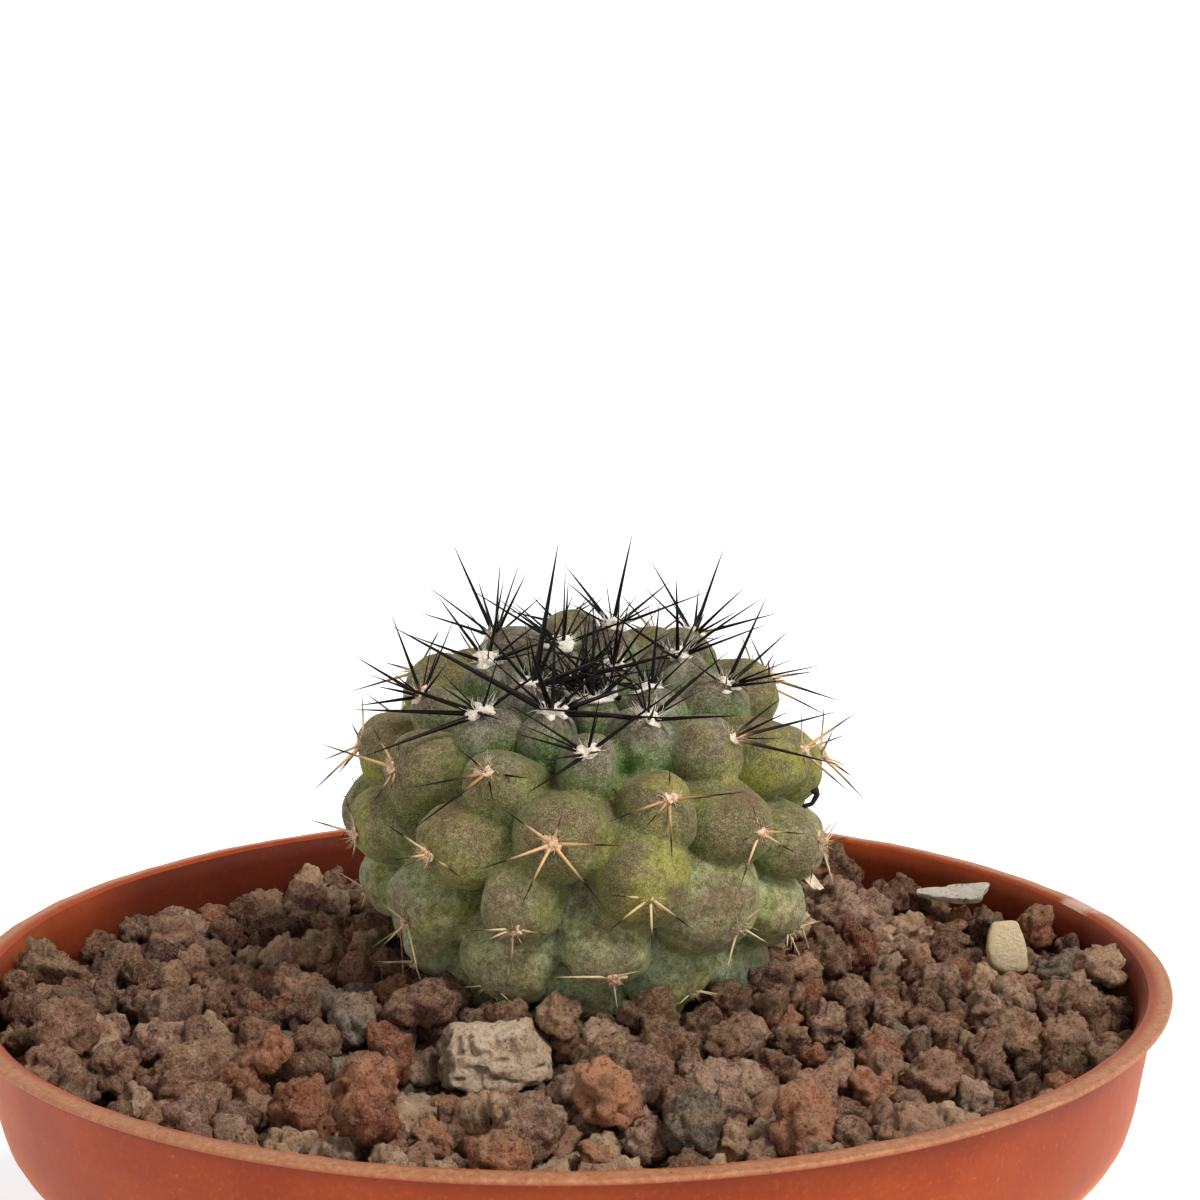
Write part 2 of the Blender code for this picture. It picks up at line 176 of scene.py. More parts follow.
@dataclass
class Shape:
    """The points and faces of one piece, collected before they become a mesh."""

    points: list[Array] = field(default_factory=list)
    faces: list[Array] = field(default_factory=list)
    marks: dict[str, list[Array]] = field(default_factory=dict)
    count: int = 0

    def add(
        self, points: Array, faces: Array | list[Array], **marks: Array | float
    ) -> None:
        """Add a body.

        Args:
            points: Its points, in mm.
            faces: Its faces, as rows of point numbers, or several blocks of such rows.
            marks: Named values for each point, or one for all of them.
        """
        blocks = faces if isinstance(faces, list) else [faces]
        self.points.append(points)
        self.faces += [block + self.count for block in blocks]
        self.count += len(points)
        for name, value in marks.items():
            self.marks.setdefault(name, []).append(np.broadcast_to(value, len(points)))

    def build(self, name: str, material: bpy.types.Material, slot: str, node: str) -> bpy.types.Object:
        """Make the piece, seat it on the part's body and let it stand for its node.

        Args:
            name: The piece's name.
            material: Its finish.
            slot: The record's slot, which is not used.
            node: The node that it stands for.

        Returns:
            The piece.
        """
        mesh = bpy.data.meshes.new(name)
        faces = [face for block in self.faces for face in block.tolist()]
        mesh.from_pydata((np.concatenate(self.points) * MM).tolist(), [], faces)
        for mark, values in self.marks.items():
            attribute = mesh.attributes.new(mark, "FLOAT", "POINT")
            attribute.data.foreach_set("value", np.concatenate(values).astype(np.float32))
        mesh.materials.append(material)
        mesh.shade_smooth()
        piece = placed(name, mesh)
        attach(piece, "root")
        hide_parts(node)
        log.info("%s: %d faces", name, len(mesh.polygons))
        return piece


def caps(sides: int, rows: int) -> tuple[Array, Array]:
    """Close a stack of rings at both ends, with fans round the two points that follow the rings.

    Args:
        sides: Points in each ring.
        rows: How many rings there are.

    Returns:
        The faces of the first and of the last fan.
    """
    here = np.arange(sides)
    after = (here + 1) % sides
    tip, last = np.full(sides, rows * sides), (rows - 1) * sides
    return np.stack((after, here, tip), axis=1), np.stack((last + here, last + after, tip + 1), axis=1)


def turned(outline: Sequence[Pair], sides: int) -> tuple[Array, list[Array]]:
    """Turn a closed outline about Z.

    Args:
        outline: Radius and height of its points; the first and the last lie on the axis.
        sides: Points round the axis.

    Returns:
        The points, and three blocks of faces: the walls in rows of four, then both ends in rows of three.
    """
    ring = np.array(outline[1:-1])
    turns = math.tau * np.arange(sides) / sides
    spokes = np.stack((np.cos(turns), np.sin(turns)), axis=1)
    body = np.concatenate([np.column_stack((spokes * r, np.full(sides, z))) for r, z in ring])
    points = np.vstack((body, (0.0, 0.0, outline[0][1]), (0.0, 0.0, outline[-1][1])))
    here = np.arange(sides)
    after = (here + 1) % sides
    rows = np.arange(len(ring) - 1)[:, None] * sides
    walls = np.stack((rows + here, rows + after, rows + sides + after, rows + sides + here), axis=-1)
    return points, [walls.reshape(-1, 4), *caps(sides, len(ring))]


@lru_cache(maxsize=None)
def ball(cuts: int) -> tuple[Array, Array]:
    """A ball of even four-sided faces.

    Args:
        cuts: Faces along each edge of the cube that it is blown up from.

    Returns:
        Its points, at radius 1, and its faces.
    """
    bm = bmesh.new()
    bmesh.ops.create_cube(bm, size=2.0)
    bmesh.ops.subdivide_edges(bm, edges=bm.edges[:], cuts=cuts - 1, use_grid_fill=True)
    points = np.array([vert.co[:] for vert in bm.verts])
    faces = np.array([[vert.index for vert in face.verts] for face in bm.faces])
    bm.free()
    return unit(np.tan(points * (math.pi / 4))), faces


def tube(path: Array, radii: Array, sides: int) -> tuple[Array, Array]:
    """A round closed tube that tapers along a path.

    Args:
        path: The points of its middle, in mm.
        radii: Its radius at each of them.
        sides: Faces round it.

    Returns:
        Its points and its faces, all triangles.
    """
    along = unit(np.gradient(path, axis=0))
    guide = np.eye(3)[np.argmin(np.abs(along[0]))]
    first = unit(np.cross(along, guide))
    second = np.cross(along, first)
    turns = math.tau * np.arange(sides) / sides
    ring = first[:, None] * np.cos(turns)[:, None] + second[:, None] * np.sin(turns)[:, None]
    body = (path[:, None] + ring * radii[:, None, None]).reshape(-1, 3)
    here = np.arange(sides)
    after = (here + 1) % sides
    faces = []
    for row in range(len(path) - 1):
        low, high = row * sides, (row + 1) * sides
        faces.append(np.stack((low + here, low + after, high + after), axis=1))
        faces.append(np.stack((low + here, high + after, high + here), axis=1))
    return np.vstack((body, path[0], path[-1])), np.concatenate((*faces, *caps(sides, len(path))))


def surface_net(values: Array, corner: Array, step: float) -> tuple[Array, Array]:
    """Wrap a skin of four-sided faces round the part of a grid where the values are below 0.

    Args:
        values: The grid's values, a signed distance.
        corner: Place of the grid's first point.
        step: Distance between its points.

    Returns:
        The skin's points and its faces.
    """
    shape = np.array(values.shape) - 1
    weight = np.zeros(shape.prod())
    total = np.zeros((3, shape.prod()))
    rings = []
    for axis in range(3):
        others = [(axis + 1) % 3, (axis + 2) % 3]
        low = values.take(range(shape[axis]), axis=axis)
        high = values.take(range(1, shape[axis] + 1), axis=axis)
        spots = np.stack(np.nonzero((low < 0.0) != (high < 0.0)))
        start, end = low[tuple(spots)], high[tuple(spots)]
        places = spots.astype(float)
        places[axis] += start / (start - end)
        around = []
        for back in ((0, 0), (1, 0), (1, 1), (0, 1)):
            cell = spots.copy()
            cell[others[0]] -= back[0]
            cell[others[1]] -= back[1]
            number = np.ravel_multi_index(cell, shape)
            around.append(number)
            weight += np.bincount(number, minlength=len(weight))
            for side in range(3):
                total[side] += np.bincount(number, weights=places[side], minlength=len(weight))
        ring = np.stack(around, axis=1)
        ring[start >= 0.0] = ring[start >= 0.0][:, ::-1]
        rings.append(ring)
    used = np.nonzero(weight)[0]
    fresh = np.zeros(len(weight), int)
    fresh[used] = np.arange(len(used))
    points = (total[:, used] / weight[used]).T * step + corner
    return points, fresh[np.concatenate(rings)]


def relaxed(points: Array, faces: Array, rounds: int) -> Array:
    """Even out a skin by drawing each point halfway to the middle of its neighbours.

    Args:
        points: The skin's points.
        faces: Its faces, in rows of four.
        rounds: How often this is done.

    Returns:
        The moved points.
    """
    ends = np.concatenate([faces[:, (k, (k + 1) % 4)] for k in range(4)])
    near = np.bincount(ends[:, 0], minlength=len(points))[:, None]
    for _ in range(rounds):
        middle = [np.bincount(ends[:, 0], points[ends[:, 1], k], len(points)) for k in range(3)]
        points = 0.5 * points + 0.5 * np.stack(middle, axis=1) / near
    return points


@dataclass
class Paint:
    """One procedural finish in the making, with short names for the nodes that it takes."""

    name: str

    def __post_init__(self) -> None:
        """Start from a plain Principled shader and the part's own coordinates."""
        self.material = bpy.data.materials.new(self.name)
        self.material.use_nodes = True
        self.tree = self.material.node_tree
        self.shader = self.tree.nodes["Principled BSDF"]
        self.place = self.tree.nodes.new("ShaderNodeTexCoord").outputs["Object"]

    def node(self, kind: str, **inputs: object) -> bpy.types.Node:
        """Add a node.

        Args:
            kind: Its kind, without the usual first word.
            inputs: Values or sockets for its inputs, by name, with _ for a space.

        Returns:
            The node.
        """
        node = self.tree.nodes.new("ShaderNode" + kind)
        for name, value in inputs.items():
            self.feed(node.inputs[name.replace("_", " ")], value)
        return node

    def feed(self, socket: Socket, value: object) -> None:
        """Link a socket to another, or set its value.

        Args:
            socket: The socket to feed.
            value: A socket, a colour or a number.
        """
        if isinstance(value, Socket):
            self.tree.links.new(value, socket)
        elif isinstance(value, tuple) and socket.type == "RGBA":
            socket.default_value = (*value, 1.0)
        else:
            socket.default_value = value

    def noise(self, size: float, detail: float = 3.0, rough: float = 0.55) -> Socket:
        """Cloudy noise.

        Args:
            size: Size of its patches, in mm.
            detail: How many finer layers it has.
            rough: How strong those are.

        Returns:
            A value round 0.5.
        """
        scale = 1.0 / (size * MM)
        node = self.node("TexNoise", Vector=self.place, Scale=scale, Detail=detail, Roughness=rough)
        return node.outputs["Factor" if "Factor" in node.outputs else "Fac"]

    def mark(self, name: str) -> Socket:
        """A named value of the mesh.

        Args:
            name: The value's name.

        Returns:
            The value.
        """
        node = self.node("Attribute")
        node.attribute_name = name
        return node.outputs["Fac"]

    def sides(self) -> list[Socket]:
        """The three sides of the part's own coordinates, in metres."""
        split = self.node("SeparateXYZ", Vector=self.place)
        return [split.outputs[name] for name in "XYZ"]

    def span(self, value: Socket, low: float, high: float) -> Socket:
        """Rise smoothly from 0 to 1 between two values.

        Args:
            value: What is measured.
            low: Where the rise starts.
            high: Where it ends; below low, it falls instead.

        Returns:
            The share of the rise.
        """
        node = self.node("MapRange", Value=value, From_Min=min(low, high), From_Max=max(low, high))
        node.interpolation_type = "SMOOTHSTEP"
        if high < low:
            self.feed(node.inputs["To Min"], 1.0)
            self.feed(node.inputs["To Max"], 0.0)
        return node.outputs["Result"]

    def band(self, value: Socket, ends: Pair) -> Socket:
        """Rise smoothly from 0 to 1 between two distances, given in mm."""
        return self.span(value, ends[0] * MM, ends[1] * MM)

    def reckon(self, kind: str, first: object, second: object) -> Socket:
        """Reckon with two values.

        Args:
            kind: What is done, such as ADD or MULTIPLY.
            first: The first value.
            second: The second value.

        Returns:
            The result.
        """
        node = self.node("Math")
        node.operation = kind
        self.feed(node.inputs[0], first)
        self.feed(node.inputs[1], second)
        return node.outputs["Value"]

    def times(self, product: object, *factors: object) -> object:
        """Multiply values.

        Args:
            product: The first value.
            factors: The others.

        Returns:
            Their product, which is the first value where it stands alone.
        """
        for factor in factors:
            product = self.reckon("MULTIPLY", product, factor)
        return product

    def swing(self, value: Socket, width: float) -> Socket:
        """Turn a value from 0 to 1 into one that swings round 0, as wide as said."""
        return self.times(self.reckon("SUBTRACT", value, 0.5), width)

    def ramp(self, share: Socket, stops: Stops) -> Socket:
        """Run through several colours.

        Args:
            share: The place on the run.
            stops: Places and their colours, in order.

        Returns:
            The colour.
        """
        node = self.node("ValToRGB", Fac=share)
        ramp = node.color_ramp
        while len(ramp.elements) < len(stops):
            ramp.elements.new(0.5)
        for element, (place, colour) in zip(ramp.elements, stops):
            element.position = place
            element.color = (*colour, 1.0)
        return node.outputs["Color"]

    def mix(self, share: object, first: object, second: object, kind: str = "MIX") -> Socket:
        """Mix two colours.

        Args:
            share: How much of the second there is.
            first: The first colour.
            second: The second colour.
            kind: How they are mixed.

        Returns:
            The mixed colour.
        """
        node = self.node("Mix")
        node.data_type = "RGBA"
        node.blend_type = kind
        self.feed(node.inputs["Factor"], share)
        self.feed(node.inputs[6], first)
        self.feed(node.inputs[7], second)
        return node.outputs[2]

    def coat(self, below: object, colour: object, *shares: object) -> Socket:
        """Lay a colour over the one below, where the product of the shares says how much of it shows."""
        return self.mix(self.times(*shares), below, colour)

    def relief(self, *layers: tuple[Socket, float, float]) -> None:
        """Give the surface fine relief.

        Args:
            layers: Heights with how strongly each shows and how high it is in mm.
        """
        normal = None
        for height, strength, depth in layers:
            node = self.node("Bump", Height=height, Strength=strength, Distance=depth * MM)
            if normal:
                self.feed(node.inputs["Normal"], normal)
            normal = node.outputs["Normal"]
        self.feed(self.shader.inputs["Normal"], normal)

    def done(self, **inputs: object) -> bpy.types.Material:
        """Feed the shader.

        Args:
            inputs: Values or sockets for the shader's inputs, by name, with _ for a space.

        Returns:
            The finished material.
        """
        for name, value in inputs.items():
            self.feed(self.shader.inputs[name.replace("_", " ")], value)
        return self.material


@dataclass(frozen=True)
class SkinFinish:
    """The stem's waxy skin: green and painted shade in the crown's grooves, bloomed on its tips, grey-green
    with age.
    """

    # Colours from the groove to the tip, by age; the crown's darkest greens in its grooves are painted
    # shade, the green the young skin's own
    crown: Stops = (
        (0.25, tone(32, 56, 10)), (0.5, tone(64, 92, 32)), (0.7, tone(92, 106, 60)),
        (0.86, tone(102, 94, 74)), (1.0, tone(96, 80, 70)),
    )
    middle: Stops = (
        (0.25, tone(92, 102, 62)), (0.5, tone(100, 108, 54)), (0.8, tone(110, 104, 60)),
        (1.0, tone(102, 84, 60)),
    )
    old: Stops = (
        (0.2, tone(152, 158, 134)), (0.5, tone(140, 150, 106)), (0.8, tone(150, 150, 106)),
        (1.0, tone(142, 130, 98)),
    )
    yellow: Colour = tone(142, 136, 58)
    russet: Colour = tone(108, 82, 60)
    cool: Colour = tone(134, 150, 118)
    frost: Colour = tone(164, 164, 142)
    shadow: Colour = tone(90, 90, 60)
    sparkle: Colour = tone(188, 194, 154)
    grit: tuple[Colour, Colour] = (tone(48, 62, 26), tone(172, 172, 132))
    crust: tuple[Colour, Colour] = (tone(72, 72, 44), tone(188, 184, 150))
    sheen: Colour = tone(255, 248, 196)
    roughness: float = 0.72
    sunken: float = 0.1

    def material(self) -> bpy.types.Material:
        """Make the material, which reads each point's tip, age, rise and tint."""
        paint = Paint("cactus_skin")
        tip, age, tint, rise = (paint.mark(name) for name in ("tip", "age", "tint", "rise"))
        sway = paint.swing(paint.noise(2.4, 4.0, 0.65), 0.6)
        place = paint.reckon("ADD", tip, sway)
        crown, middle, old = (paint.ramp(place, stops) for stops in (self.crown, self.middle, self.old))
        body = paint.mix(paint.span(age, 0.2, 0.3), crown, middle)
        body = paint.mix(paint.span(age, 0.48, 0.74), body, old)
        grown, worn = paint.span(age, 0.2, 0.34), paint.span(age, 0.4, 0.7)
        body = paint.coat(body, self.yellow, paint.span(paint.noise(4.5, 4.0), 0.46, 0.62), tint, grown)
        upper = paint.span(paint.reckon("ADD", rise, sway), 0.5, 0.8)
        body = paint.coat(body, self.russet, upper, grown, paint.span(paint.noise(6.0, 3.0), 0.42, 0.6), 0.7)
        cool = paint.span(paint.noise(7.0, 3.0), 0.48, 0.6)
        body = paint.coat(body, self.cool, cool, paint.span(age, 0.6, 0.85), 0.8)
        frost = paint.times(paint.span(paint.noise(2.6, 5.0, 0.7), 0.48, 0.6), paint.span(place, 0.5, 0.85))
        body = paint.coat(body, self.frost, frost, paint.span(age, 0.42, 0.1), 0.42)
        fine = paint.noise(0.13, 2.0, 0.6)
        grit, crust = (paint.noise(size, 4.0, 0.7) for size in (0.5, 0.85))
        body = paint.coat(body, paint.mix(0.5, body, self.shadow, "MULTIPLY"), paint.span(fine, 0.5, 0.3))
        bright = paint.span(paint.noise(3.2, 3.0), 0.2, 0.55)
        body = paint.coat(body, self.sparkle, paint.span(fine, 0.5, 0.66), bright, 0.32)
        body = paint.coat(body, self.grit[0], paint.span(grit, 0.52, 0.34), 0.5)
        body = paint.coat(body, self.grit[1], paint.span(grit, 0.54, 0.7), 0.25)
        body = paint.coat(body, self.crust[0], paint.span(crust, 0.5, 0.36), worn, 0.5)
        body = paint.coat(body, self.crust[1], paint.span(crust, 0.53, 0.66), worn, 0.4)
        paint.relief(
            (paint.noise(1.2, 4.0, 0.6), 0.4, 0.16), (crust, 0.5, 0.1), (fine, 0.8, 0.06), (grit, 0.5, 0.07)
        )
        return paint.done(
            Base_Color=body, Roughness=self.roughness, Subsurface_Weight=self.sunken,
            Subsurface_Radius=(1.0, 1.0, 0.4), Subsurface_Scale=0.5 * MM, Specular_IOR_Level=0.15,
            Sheen_Weight=0.2, Sheen_Roughness=0.3, Sheen_Tint=self.sheen,
        )


@dataclass(frozen=True)
class SpineFinish:
    """The horn of the spines: black on the crown, straw with dark ends further down."""

    straw: Stops = ((0.0, tone(170, 126, 80)), (0.45, tone(222, 184, 132)), (1.0, tone(206, 186, 142)))
    streaks: Colour = tone(150, 104, 66)
    black: tuple[Colour, Colour] = (tone(8, 6, 5), tone(28, 18, 13))
    roughness: float = 0.45

    def material(self) -> bpy.types.Material:
        """Make the material, which reads how dark and how pale each point is."""
        paint = Paint("spine_horn")
        streak = paint.span(paint.noise(0.25, 3.0), 0.35, 0.75)
        straw = paint.coat(paint.ramp(paint.mark("pale"), self.straw), self.streaks, streak, 0.25)
        horn = paint.mix(paint.mark("dark"), straw, paint.mix(streak, *self.black))
        paint.relief((paint.noise(0.12, 2.0), 0.2, 0.02))
        return paint.done(Base_Color=horn, Roughness=self.roughness, Specular_IOR_Level=0.12)


@dataclass(frozen=True)
class WoolFinish:
    """The wool of the areoles: cream on the crown, peach and matted on older ones."""

    wool: Stops = (
        (0.0, tone(236, 230, 216)), (0.2, tone(236, 226, 206)), (0.34, tone(232, 204, 168)),
        (1.0, tone(204, 164, 130)),
    )
    matted: Colour = tone(158, 88, 50)
    shadow: Colour = tone(150, 124, 96)
    roughness: float = 0.95

    def material(self) -> bpy.types.Material:
        """Make the material, which reads how old and how matted each point is."""
        paint = Paint("areole_wool")
        matted = paint.span(paint.noise(0.3, 3.0), 0.4, 0.6)
        wool = paint.coat(
            paint.ramp(paint.mark("age"), self.wool), self.matted, matted, paint.mark("matted"), 0.7
        )
        gaps = paint.span(paint.noise(0.16, 2.0), 0.5, 0.3)
        wool = paint.coat(wool, paint.mix(0.6, wool, self.shadow, "MULTIPLY"), gaps)
        paint.relief((paint.noise(0.15, 3.0), 0.6, 0.06))
        return paint.done(
            Base_Color=wool, Roughness=self.roughness, Sheen_Weight=0.2, Specular_IOR_Level=0.2
        )


class Lava(Enum):
    """The kinds of grain in the grit: name, share, and its dark, middle and pale colours."""

    MAUVE = ("mauve", 0.29, (tone(82, 56, 45), tone(154, 115, 94), tone(222, 184, 154)))
    UMBER = ("umber", 0.31, (tone(66, 42, 31), tone(134, 93, 73), tone(196, 150, 120)))
    TAN = ("tan", 0.25, (tone(96, 68, 50), tone(174, 131, 100), tone(236, 196, 156)))
    RUST = ("rust", 0.12, (tone(88, 46, 31), tone(158, 98, 69), tone(212, 148, 110)))
    GREY = ("grey", 0.03, (tone(68, 57, 48), tone(126, 109, 93), tone(174, 156, 136)))


@dataclass(frozen=True)
class StoneFinish:
    """Rough stone: three tones of one colour, pits and crevices darkened as painted shade, up-facing faces
    paler with dust and painted light.
    """

    name: str
    tones: tuple[Colour, Colour, Colour]
    # Paler tone for faces that point up: dust and painted light
    dust: Colour = tone(176, 146, 120)
    top_light_and_dust: float = 0.28
    # How strongly pits and crevices are darkened, as painted shade
    pores: float = 1.0
    patchy: float = 1.0
    rusty: tuple[Colour, Colour] = (tone(96, 46, 26), tone(172, 112, 78))
    sandy: tuple[Colour, Colour] = (tone(92, 72, 50), tone(190, 166, 126))
    glint: Colour = tone(232, 204, 168)
    roughness: float = 0.95

    def material(self) -> bpy.types.Material:
        """Make the material, which reads each grain's shade."""
        paint = Paint(self.name)
        dark, middle, pale = self.tones
        grain, speck = paint.noise(0.36, 6.0, 0.8), paint.noise(0.14, 2.0, 0.6)
        place = paint.reckon("ADD", paint.mark("shade"), paint.swing(paint.noise(1.5, 3.0), 1.0))
        place = paint.reckon("ADD", place, paint.swing(grain, 2.0))
        body = paint.ramp(place, ((0.1, dark), (0.5, middle), (0.95, pale)))
        rusty, sandy = (paint.span(paint.noise(size, 3.0), 0.5, 0.62) for size in (1.9, 2.6))
        body = paint.coat(body, paint.mix(grain, *self.rusty), rusty, 0.3 * self.patchy)
        body = paint.coat(body, paint.mix(grain, *self.sandy), sandy, 0.4 * self.patchy)
        # Faces that point up are paler: dust, and painted light from above
        normal = paint.node("NewGeometry").outputs["Normal"]
        upward = paint.span(paint.node("SeparateXYZ", Vector=normal).outputs["Z"], 0.1, 0.95)
        body = paint.coat(body, self.dust, upward, paint.span(grain, 0.42, 0.6), self.top_light_and_dust)
        # Pits and crevices are darkened: painted shade
        pits = paint.times(paint.span(paint.noise(0.55, 3.0, 0.7), 0.4, 0.3), self.pores)
        body = paint.coat(body, paint.mix(0.9, body, dark, "MULTIPLY"), pits, 0.75)
        crevice_shade = paint.times(paint.span(grain, 0.46, 0.3), 0.8 * self.pores)
        body = paint.coat(body, paint.mix(0.9, body, dark, "MULTIPLY"), crevice_shade)
        body = paint.coat(body, self.glint, paint.span(speck, 0.58, 0.72), 0.42)
        body = paint.coat(body, dark, paint.span(speck, 0.42, 0.3), 0.4)
        paint.relief(
            (paint.noise(1.0, 4.0, 0.7), 0.6, 0.25), (pits, 0.8, -0.2), (grain, 1.0, 0.6), (speck, 0.6, 0.05)
        )
        return paint.done(Base_Color=body, Roughness=self.roughness, Specular_IOR_Level=0.15)


@dataclass(frozen=True)
class PlasticFinish:
    """The pan's clay-coloured plastic: dusty outside, dirt and lime on its rim, its lip's top paler by wear
    and painted light, painted shadow under the lip.
    """

    clay: tuple[Colour, Colour] = (tone(138, 49, 10), tone(152, 61, 16))
    dust: Colour = tone(180, 96, 58)
    stain: Colour = tone(128, 52, 26)
    # The lip's top: partly wear, partly painted light
    worn: Stops = ((0.3, tone(146, 96, 64)), (0.5, tone(164, 114, 80)), (0.7, tone(182, 136, 102)))
    # Painted shadow under the lip
    lip_shadow: Colour = tone(112, 40, 14)
    speck: Colour = tone(196, 132, 100)
    dirt: Colour = tone(60, 40, 32)
    lime: Colour = tone(196, 168, 150)
    sheen: Colour = tone(255, 158, 96)
    # Where the lip's top is paler, partly by wear and partly as painted light, where shadow is painted under
    # the lip and where dirt clings, in mm
    rim_height: Pair = (29.1, 29.8)
    rim_reach: Pair = (48.1, 49.0)
    lip_shadow_from: Pair = (27.6, 29.1)
    lip_shadow_to: Pair = (29.5, 29.3)
    lip_shadow_reach: Pair = (47.8, 48.1)
    dirt_height: Pair = (28.0, 29.5)
    lime_at: Triple = (45.2, 18.4, 29.8)
    lime_reach: float = 2.7
    lime_ragged: float = 5.0
    roughness: float = 0.5

    def material(self) -> bpy.types.Material:
        """Make the material."""
        paint = Paint("clay_plastic")
        cloud, fine = paint.noise(9.0, 4.0), paint.noise(0.5, 4.0, 0.7)
        body = paint.mix(paint.span(cloud, 0.3, 0.7), *self.clay)
        body = paint.coat(body, self.dust, paint.span(fine, 0.5, 0.72), 0.3)
        body = paint.coat(body, self.stain, paint.span(fine, 0.48, 0.3), 0.4)
        side, back, height = paint.sides()
        away = paint.node("VectorMath")
        away.operation = "LENGTH"
        paint.feed(away.inputs[0], paint.node("CombineXYZ", X=side, Y=back).outputs["Vector"])
        reach = away.outputs["Value"]
        # The lip's top is paler: partly wear, partly painted light
        rim = paint.times(paint.band(height, self.rim_height), paint.band(reach, self.rim_reach))
        body = paint.coat(body, paint.ramp(fine, self.worn), rim, 0.85)
        # Painted shadow just under the lip
        under = paint.times(paint.band(height, self.lip_shadow_from), paint.band(height, self.lip_shadow_to))
        body = paint.coat(body, self.lip_shadow, under, paint.band(reach, self.lip_shadow_reach), 0.7)
        specks = paint.times(
            paint.span(paint.noise(0.5, 2.0), 0.68, 0.76), paint.span(paint.noise(6.0, 2.0), 0.48, 0.6)
        )
        body = paint.coat(body, self.speck, specks, 0.4)
        dirt = paint.span(paint.noise(0.8, 4.0, 0.75), 0.62, 0.7)
        body = paint.coat(body, self.dirt, dirt, paint.band(height, self.dirt_height), 0.75)
        near = paint.node("VectorMath", Vector=paint.place)
        near.operation = "DISTANCE"
        near.inputs[1].default_value = tuple(place * MM for place in self.lime_at)
        ragged = paint.swing(paint.noise(1.4, 4.0, 0.7), self.lime_ragged * MM)
        edge = paint.reckon("ADD", near.outputs["Value"], ragged)
        lime = paint.band(edge, (self.lime_reach, 0.55 * self.lime_reach))
        body = paint.coat(body, self.lime, lime, 0.75)
        paint.relief((fine, 0.35, 0.05), (cloud, 0.25, 0.4), (lime, 0.5, 0.1))
        rough = paint.reckon("ADD", paint.times(fine, 0.24), self.roughness - 0.1)
        return paint.done(
            Base_Color=body, Roughness=rough, Specular_IOR_Level=0.2,
            Sheen_Weight=0.55, Sheen_Roughness=0.25, Sheen_Tint=self.sheen,
        )


@dataclass(frozen=True)
class StainedShadedFinish:
    """The same plastic inside the pan, darker as painted shade, stained by wet grit, with the plant's shadow
    painted on its back left.
    """

    upper_tones: Stops = ((0.3, tone(112, 42, 11)), (0.7, tone(132, 55, 19)))
    dark: Stops = ((0.3, tone(80, 26, 5)), (0.5, tone(100, 35, 8)), (0.7, tone(116, 46, 13)))
    # Painted shadow of the plant on the back left of the inside
    plant_shadow: Colour = tone(64, 14, 1)
    dust: Colour = tone(132, 74, 42)
    grime: Colour = tone(60, 24, 10)
    # Where it is lighter towards the rim and where the plant's shadow is painted, in mm
    upper_height: Pair = (26.0, 29.0)
    plant_shadow_from: Pair = (-45.0, -38.0)
    plant_shadow_to: Pair = (8.0, -12.0)
    plant_shadow_back: Pair = (12.0, 26.0)
    roughness: float = 0.7

    def material(self) -> bpy.types.Material:
        """Make the material."""
        paint = Paint("stained_shaded_plastic")
        cloud, fine = paint.noise(6.0, 4.0, 0.6), paint.noise(0.6, 4.0, 0.7)
        side, back, height = paint.sides()
        # Darker than the outside as painted shade, and lighter towards the rim
        body = paint.ramp(cloud, self.dark)
        body = paint.coat(body, paint.ramp(cloud, self.upper_tones), paint.band(height, self.upper_height))
        # The plant's shadow, painted on the back left of the inside
        plant_shadow = paint.times(paint.band(side, self.plant_shadow_from), paint.band(side, self.plant_shadow_to))
        body = paint.coat(body, self.plant_shadow, plant_shadow, paint.band(back, self.plant_shadow_back), 0.75)
        body = paint.coat(body, self.dust, paint.span(fine, 0.56, 0.72), 0.15)
        body = paint.coat(body, self.grime, paint.span(fine, 0.46, 0.3), 0.3)
        paint.relief((fine, 0.3, 0.05), (cloud, 0.2, 0.3))
        return paint.done(Base_Color=body, Roughness=self.roughness, Specular_IOR_Level=0.15)


@dataclass(frozen=True)
class DryFinish:
    """Dead plant matter: papery brown and cream, with black ends."""

    tones: Stops = (
        (0.05, tone(24, 18, 16)), (0.3, tone(82, 52, 36)), (0.55, tone(142, 96, 62)),
        (0.8, tone(212, 192, 166)), (1.0, tone(232, 222, 206)),
    )
    roughness: float = 0.8

    def material(self) -> bpy.types.Material:
        """Make the material, which reads each scrap's shade."""
        paint = Paint("dry_remains")
        sway = paint.swing(paint.noise(0.7, 4.0, 0.7), 0.7)
        body = paint.ramp(paint.reckon("ADD", paint.mark("shade"), sway), self.tones)
        paint.relief((paint.noise(0.4, 4.0, 0.65), 0.5, 0.1))
        return paint.done(Base_Color=body, Roughness=self.roughness)


@dataclass(frozen=True)
class Areole:
    """One areole: its place on the stem and the directions there, in the plant's own frame."""

    number: int
    point: Array
    out: Array
    across: Array
    up: Array
    cell: float


